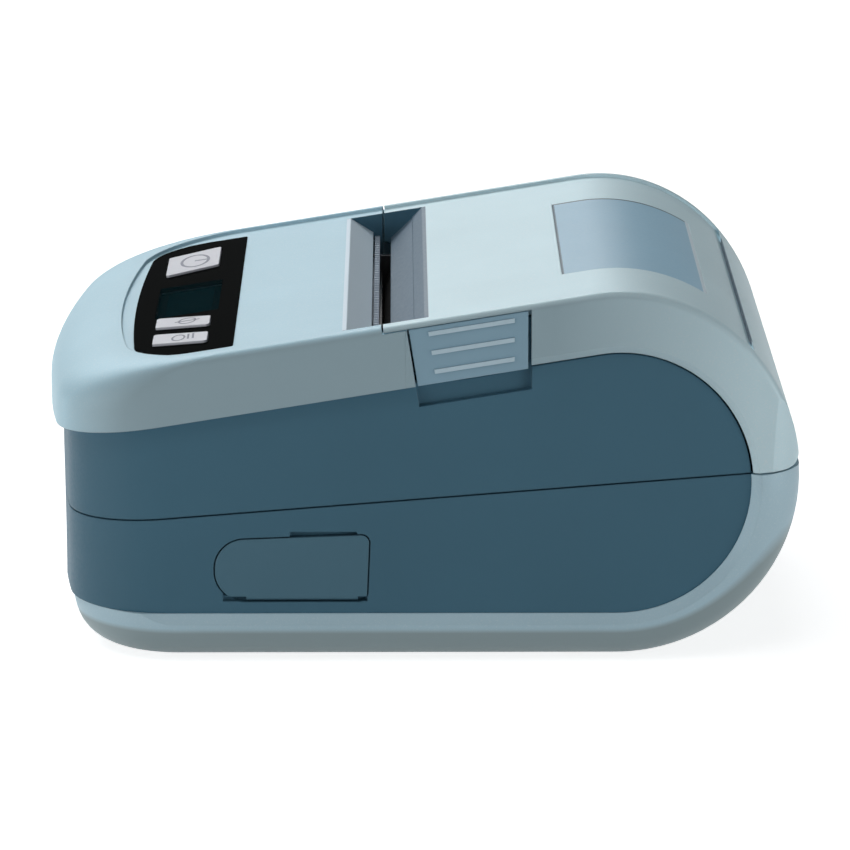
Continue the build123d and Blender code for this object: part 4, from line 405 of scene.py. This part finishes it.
def side_band_shade(shader):
    """Painted shade on the upright sides of a cover, below the ridges: where the surface faces outward
    across, with less of it towards the rear.
    """
    x, y, _ = shader.axes()
    _, facing_y, _ = shader.facing()
    outward = shader.times(facing_y, shader.compute("SIGN", y))
    side = shader.remap(outward, BAND_TURN, RISING)
    return shader.times(side, shader.remap(x, BAND_FADE, (1.0, BAND_REAR_SHARE)))


def rib_fronts_highlight(shader):
    """Painted highlight on the fronts of the latch's ribs, upright where the plate leans."""
    _, facing_y, facing_z = shader.facing()
    outward = shader.remap(shader.compute("ABSOLUTE", facing_y), RIB_OUTWARD, RISING)
    return shader.times(shader.remap(facing_z, RIB_UPRIGHT, RISING), outward)


def underside_shade(shader):
    """Painted shade on the part of the base frame that leans in below its bevel."""
    _, _, facing_z = shader.facing()
    return shader.remap(facing_z, UNDER_TURN, RISING)


def crease(shader):
    """The shaded line where the lid's plate turns down at the rear."""
    x, y, _ = shader.axes()
    line = shader.between(x, CREASE_X - CREASE_AHEAD, CREASE_X + CREASE_BEHIND, CREASE_SOFT)
    return shader.times(line, shader.between(y, -CREASE_HALF, CREASE_HALF, CREASE_END_SOFT))


def window_outline(shader):
    """The dark line round the far and front edges of the window."""
    x, y, _ = shader.axes()
    low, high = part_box("lid_window")
    far = shader.remap(y, [high[1] - inset for inset in WINDOW_FAR_LINE], RISING)
    front = shader.remap(x, [low[0] + inset for inset in WINDOW_FRONT_LINE], FALLING)
    return shader.compute("MAXIMUM", far, front)


def window_rear_edge(shader):
    """The lit line along the rear edge of the window."""
    x, _, _ = shader.axes()
    _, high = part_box("lid_window")
    return shader.remap(x, [high[0] - inset for inset in WINDOW_REAR_LINE], RISING)


# Colours, as they are seen on a screen

FRAME_SHELL = srgb(190, 219, 231)
# Painted shade on the base frame's underside
FRAME_UNDER_SHADE = srgb(160, 178, 182)
COVER_SHELL = srgb(195, 230, 244)
# The lid's colour is painted lighter than the cover's: painted light for the lid's brighter top
LID_SHELL_LIT = srgb(217, 244, 252)
# Painted shade for the covers' upright sides
BAND_SHADE = srgb(162, 186, 195)
# Painted light on the trough's front wall and painted shade on its rear wall
TROUGH_FRONT_LIGHT = srgb(226, 244, 255)
TROUGH_REAR_SHADE = srgb(117, 137, 153)
# Painted shade on the trough's end walls
END_WALL_SHADE = srgb(80, 120, 140)
CREASE_SHADE = srgb(112, 136, 152)
SLATE = srgb(75, 116, 136)
FLAP_SLATE = srgb(83, 122, 140)
LATCH_BLUE = srgb(146, 180, 198)
# Painted highlight on the latch ribs' fronts
RIB_HIGHLIGHT = srgb(196, 220, 232)
WINDOW_TINT = srgb(178, 220, 243)
WINDOW_LINE = srgb(84, 112, 130)
WINDOW_GLINT = srgb(226, 246, 255)
PANEL_BLACK = srgb(9, 12, 12)
LENS_DARK = srgb(4, 30, 35)
DISPLAY_TEAL = srgb(2, 62, 72)
KEY_WHITE = srgb(226, 229, 238)
PRINT_GREY = srgb(146, 152, 170)
MOULD_BLACK = srgb(30, 33, 36)
CRADLE_SLATE = srgb(46, 66, 76)
GEAR_WHITE = srgb(216, 213, 203)
STEEL_GREY = srgb(182, 184, 186)
MOTOR_GREY = srgb(160, 162, 164)
TEAR_GREY = srgb(172, 186, 200)
SCREW_GREY = srgb(86, 88, 92)
SINK_GREY = srgb(200, 202, 204)
ROLLER_BLACK = srgb(40, 40, 42)
FOOT_BLACK = srgb(48, 50, 52)
BOARD_GREEN = srgb(22, 76, 48)
GLAZE_BROWN = srgb(40, 36, 34)

# Stretch of the brushing that leaves the streaks long along one axis
BRUSHED_X = (1, 8, 8)
BRUSHED_Y = (8, 1, 8)

# A gloss so low that the black sheets stay black at the photo's grazing angle
DEAD_GLOSS = 0.0004
FINE_EDGE = 0.12 * MM

# The cover's patches lay painted shade on the side bands and the trough's ends, and painted light on the
# trough's front wall
cover_shell = moulded(
    "cover_shell", COVER_SHELL, roughness=0.5, metallic=0.1, sparkle=0.22, gloss=0.25,
    patches=((side_band_shade, BAND_SHADE), (trough, TROUGH_FRONT_LIGHT), (trough_ends_shade, END_WALL_SHADE)),
)
# The lid's shell is painted lighter than the cover's, and its patches lay painted shade on the side bands,
# the trough's rear wall, its ends and the crease
lid_shell = moulded(
    "lid_shell", LID_SHELL_LIT, roughness=0.48, metallic=0.12, sparkle=0.26, gloss=0.3,
    patches=(
        (side_band_shade, BAND_SHADE), (trough, TROUGH_REAR_SHADE), (trough_ends_shade, END_WALL_SHADE),
        (crease, CREASE_SHADE),
    ),
)
# The frame's patch lays painted shade on its underside
frame_shell = moulded(
    "frame_shell", FRAME_SHELL, roughness=0.46, metallic=0.1, sparkle=0.12, gloss=0.25,
    patches=((underside_shade, FRAME_UNDER_SHADE),),
)
slate_shell = moulded("slate_shell", SLATE, roughness=0.5, gloss=0.25)
flap_shell = moulded("flap_shell", FLAP_SLATE, roughness=0.46, gloss=0.3)
# The latch's patch lays a painted highlight on the ribs' fronts
latch_shell = moulded(
    "latch_shell", LATCH_BLUE, metallic=0.1, edge=FINE_EDGE, gloss=0.35, patches=((rib_fronts_highlight, RIB_HIGHLIGHT),)
)
smoky_sheet = moulded(
    "smoky_sheet", WINDOW_TINT, roughness=0.35, edge=0.1 * MM, gloss=0.3, relief=0.02, alpha=0.97,
    patches=((window_outline, WINDOW_LINE), (window_rear_edge, WINDOW_GLINT)),
)
key_caps = moulded("key_caps", KEY_WHITE, roughness=0.38)
print_ink = moulded("print_ink", PRINT_GREY, roughness=0.5)
dark_mould = moulded("dark_mould", MOULD_BLACK, roughness=0.5)
cradle_mould = moulded("cradle_mould", CRADLE_SLATE, roughness=0.5)
white_gear = moulded("white_gear", GEAR_WHITE, roughness=0.4, edge=0.08 * MM)
steel = metal("steel", STEEL_GREY, brushed=BRUSHED_X)
motor_steel = metal("motor_steel", MOTOR_GREY, roughness=0.35, brushed=BRUSHED_Y)
tear_steel = metal("tear_steel", TEAR_GREY, roughness=0.5, brushed=BRUSHED_Y, metallic=0.35)
screw_steel = metal("screw_steel", SCREW_GREY, roughness=0.38)
aluminium = metal("aluminium", SINK_GREY, roughness=0.36, brushed=BRUSHED_Y)
roller_rubber = rubber("roller_rubber", ROLLER_BLACK)
foot_rubber = rubber("foot_rubber", FOOT_BLACK, roughness=0.85)
board_green = board("board_green", BOARD_GREEN)
head_glaze = glossy("head_glaze", GLAZE_BROWN, roughness=0.18, gloss=0.5)
black_panel = glossy("black_panel", PANEL_BLACK, roughness=0.12, gloss=DEAD_GLOSS)
lens_sheet = glossy("lens_sheet", LENS_DARK, roughness=0.08, gloss=DEAD_GLOSS, alpha=0.5)
display_face = glossy("display_face", DISPLAY_TEAL, roughness=0.2, gloss=DEAD_GLOSS)

NODE_LOOKS = {
    "base_frame": frame_shell, "front_cover": cover_shell, "lid": lid_shell,
    "lower_case": slate_shell, "upper_case": slate_shell, "battery_door": slate_shell,
    "port_pin": slate_shell, "port_cover": flap_shell, "latch_near": latch_shell,
    "latch_far": latch_shell, "power_key": key_caps, "function_key": key_caps,
    "feed_key": key_caps, "lid_window": smoky_sheet, "display_panel": black_panel,
    "display_lens": lens_sheet, "lcd_module": display_face, "keypad_board": board_green,
    "main_board": board_green, "socket_board": board_green, "hinge_pin": steel,
    "gear_axle": steel, "platen_shaft": steel, "usb_socket": steel, "head_spring": steel,
    "mechanism_frame": motor_steel, "stepper_motor": motor_steel, "motor_pinion": motor_steel,
    "tear_bar": tear_steel, "head_sink": aluminium, "heater_strip": head_glaze,
    "power_socket": dark_mould, "battery_pack": dark_mould, "paper_sensor": dark_mould,
    "lid_switch": dark_mould, "platen_carrier": dark_mould, "bush_near": dark_mould,
    "bush_far": dark_mould, "platen_gear": white_gear, "reduction_gear": white_gear,
    "roll_cradle": cradle_mould, "platen_roller": roller_rubber,
}
for name, node in nodes.items():
    if name.startswith("case_screw"):
        look = screw_steel
    elif name.startswith("foot_pad"):
        look = foot_rubber
    else:
        look = NODE_LOOKS[name]
    node.data.materials.clear()
    node.data.materials.append(look)


# Pieces added to the frame

def make_piece(name, corners, faces, look, body):
    """A closed mesh of its own that rides on a body and takes its finish from a slot."""
    mesh = bpy.data.meshes.new(name)
    mesh.from_pydata(corners, [], faces)
    shape = bmesh.new()
    shape.from_mesh(mesh)
    bmesh.ops.recalc_face_normals(shape, faces=shape.faces)
    shape.to_mesh(mesh)
    shape.free()
    mesh.materials.append(look)
    piece = bpy.data.objects.new(name, mesh)
    bpy.context.scene.collection.objects.link(piece)
    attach(piece, body)


def prism_faces(count):
    """Faces of a prism: corners 0 to count-1 are one end, count to 2*count-1 the other."""
    faces = [list(range(count)), list(range(2 * count - 1, count - 1, -1))]
    for i in range(count):
        j = (i + 1) % count
        faces.append([i, j, count + j, count + i])
    return faces


# The cover's side band ends on the slant of the latch beside it, not upright. Its outer face leans out
# from the ridge at the top to the seam at the foot, with a bend between.
COVER_END_X = -2.4 * MM
BAND_INNER = 51.6 * MM
BAND_TOP_Y = 53.164 * MM
BAND_BEND_Y = 53.66 * MM
BAND_FOOT_Y = 54.0 * MM
BAND_CORNERS = (
    (COVER_END_X, BAND_TOP_Y, 61.569 * MM), (-2.22 * MM, BAND_TOP_Y, 61.598 * MM),
    (-1.25 * MM, BAND_BEND_Y, 55.778 * MM), (-0.6 * MM, BAND_FOOT_Y, 51.585 * MM),
    (COVER_END_X, BAND_FOOT_Y, 51.293 * MM), (COVER_END_X, BAND_BEND_Y, 55.592 * MM),
)
for side, word in ((-1, "near"), (1, "far")):
    outer = [(x, side * y, z) for x, y, z in BAND_CORNERS]
    inner = [(x, side * BAND_INNER, z) for x, y, z in BAND_CORNERS]
    faces = prism_faces(len(BAND_CORNERS))
    make_piece(f"cover_end_{word}", outer + inner, faces, cover_shell, "housing")

# Printed marks on the keys: a ring with a short bar, a ring crossed by a line, a ring with two lines
PRINT_THICK = 0.03 * MM
RING_STEPS = 40
DECK_COS = 1 / math.hypot(1, DECK_SLOPE)
DECK_SIN = DECK_SLOPE * DECK_COS


def on_key(key):
    """Function that puts (along the deck, across, up from the key's top) in the frame."""
    low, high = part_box(key)
    middle = Vector(((low[0] + high[0]) / 2, (low[1] + high[1]) / 2, 0))
    slope = Vector((DECK_COS, 0, DECK_SIN))
    up = Vector((-DECK_SIN, 0, DECK_COS))
    top = max(Vector(vertex.co).dot(up) for vertex in nodes[key].data.vertices)
    middle.z = (top - middle.dot(up)) / up.z

    def place(along, across, lift):
        return middle + slope * along + Vector((0, across, 0)) + up * lift

    return place


def bar_mark(name, key, along, length, width):
    """A bar in the middle of the key's width, with its own middle at along."""
    place = on_key(key)
    ends = [(along - length / 2, -width / 2), (along + length / 2, -width / 2),
            (along + length / 2, width / 2), (along - length / 2, width / 2)]
    corners = [place(x, y, 0) for x, y in ends] + [place(x, y, PRINT_THICK) for x, y in ends]
    make_piece(name, corners, prism_faces(4), print_ink, key)


def ring_mark(name, key, along, half_length, half_width, line):
    """An oval ring in the middle of the key's width, drawn with a line of this width."""
    place = on_key(key)
    section = ((0, 0), (0, PRINT_THICK), (line, PRINT_THICK), (line, 0))
    corners = []
    for step in range(RING_STEPS):
        turn = 2 * math.pi * step / RING_STEPS
        for inset, lift in section:
            corners.append(place(
                along + (half_length - inset) * math.cos(turn), (half_width - inset) * math.sin(turn), lift
            ))
    faces = []
    sides = len(section)
    for step in range(RING_STEPS):
        here, there = sides * step, sides * ((step + 1) % RING_STEPS)
        for i in range(sides):
            j = (i + 1) % sides
            faces.append([here + i, here + j, there + j, there + i])
    make_piece(name, corners, faces, print_ink, key)


THICK_LINE = 0.55 * MM
THIN_LINE = 0.35 * MM
ring_mark("power_ring", "power_key", -0.3 * MM, half_length=2.9 * MM, half_width=5.2 * MM, line=THICK_LINE)
bar_mark("power_bar", "power_key", 0.9 * MM, length=2.6 * MM, width=0.6 * MM)
ring_mark(
    "function_ring", "function_key", 0.2 * MM, half_length=1.7 * MM, half_width=2.2 * MM, line=THIN_LINE
)
bar_mark("function_bar", "function_key", 0.2 * MM, length=4.6 * MM, width=0.4 * MM)
ring_mark("feed_ring", "feed_key", -0.9 * MM, half_length=1.3 * MM, half_width=2.2 * MM, line=THIN_LINE)
bar_mark("feed_bar_1", "feed_key", 0.9 * MM, length=THIN_LINE, width=3.6 * MM)
bar_mark("feed_bar_2", "feed_key", 1.8 * MM, length=THIN_LINE, width=3.6 * MM)

# Stage, lights and camera

FLOOR_HALF = 6.0
FLOOR_LIFT = 0.8
FLOOR_GRAIN = 3
FLOOR_DARK = (0.76, 0.76, 0.76, 1)
FLOOR_LIGHT = (0.78, 0.78, 0.78, 1)
FLOOR_ROUGHNESS = 0.7
FLOOR_GLOSS = 0.1


def seen_ray(shader):
    """1 for the rays by which the floor itself is seen, directly, mirrored or through glass."""
    path = shader.add("ShaderNodeLightPath").outputs
    mirrored = shader.compute("MAXIMUM", path["Is Camera Ray"], path["Is Glossy Ray"])
    return shader.compute("MAXIMUM", mirrored, path["Is Transmission Ray"])


def make_floor():
    """A wide plain floor, lifted towards white where it is seen."""
    mesh = bpy.data.meshes.new("studio_floor")
    shape = bmesh.new()
    bmesh.ops.create_grid(shape, x_segments=1, y_segments=1, size=FLOOR_HALF)
    shape.to_mesh(mesh)
    shape.free()
    floor = bpy.data.objects.new("studio_floor", mesh)
    bpy.context.scene.collection.objects.link(floor)
    shader = Shader("studio_floor")
    shader.put("Base Color", shader.mix(shader.noise(FLOOR_GRAIN), FLOOR_DARK, FLOOR_LIGHT))
    shader.put("Roughness", FLOOR_ROUGHNESS)
    shader.put("Specular IOR Level", FLOOR_GLOSS)
    shader.put("Emission Color", WHITE)
    shader.put("Emission Strength", shader.remap(seen_ray(shader), RISING, (0, FLOOR_LIFT)))
    mesh.materials.append(shader.material)


# Place, size and watts of each lamp; all of them point at the middle of the printer
LAMP_TARGET = Vector((0, 0, 0.03))
LAMPS = {
    "far_box": ((-0.45, 1.0, 0.85), (1.2, 0.6), 9.8),
    "far_strip": ((-0.4, 1.4, 0.42), (1.2, 0.35), 0.8),
    "front_high": ((-0.25, -0.6, 1.15), (0.8, 0.5), 2.5),
    "left_box": ((-1.35, -0.5, 0.2), (1.2, 0.6), 6),
    "right_box": ((1.2, -0.8, 0.05), (0.8, 0.3), 6.8),
}
WORLD_TINT = (0.92, 0.96, 1.0, 1)
WORLD_STRENGTH = 0.1


def area_light(name, place, size, power):
    """A rectangular lamp turned to the printer."""
    data = bpy.data.lights.new(name, "AREA")
    data.shape = "RECTANGLE"
    data.size, data.size_y = size
    data.energy = power
    light = bpy.data.objects.new(name, data)
    light.location = place
    light.rotation_euler = (LAMP_TARGET - Vector(place)).to_track_quat("-Z", "Y").to_euler()
    bpy.context.scene.collection.objects.link(light)


make_floor()
for name, (place, size, power) in LAMPS.items():
    area_light(name, place, size, power)

world = bpy.data.worlds.new("studio")
world.use_nodes = True
world.node_tree.nodes["Background"].inputs["Color"].default_value = WORLD_TINT
world.node_tree.nodes["Background"].inputs["Strength"].default_value = WORLD_STRENGTH
bpy.context.scene.world = world
bpy.context.scene.view_settings.view_transform = "Standard"

# The camera stands where the photo was taken from
CAMERA_PLACE = Vector((-3.958, -901.104, 263.707)) * MM
CAMERA_PITCH = math.radians(-14.5)
CAMERA_YAW = math.radians(-0.3375)
CAMERA_REACH = 50
FOCAL_PIXELS = 4930.06
IMAGE_PIXELS = 850
SENSOR_WIDTH = 36.0

camera_data = bpy.data.cameras.new("camera")
camera_data.sensor_width = SENSOR_WIDTH
camera_data.lens = FOCAL_PIXELS / IMAGE_PIXELS * SENSOR_WIDTH
camera_data.clip_end = CAMERA_REACH
camera = bpy.data.objects.new("camera", camera_data)
camera.location = CAMERA_PLACE
camera.rotation_euler = (math.pi / 2 + CAMERA_PITCH, 0, CAMERA_YAW)
bpy.context.scene.collection.objects.link(camera)
bpy.context.scene.camera = camera
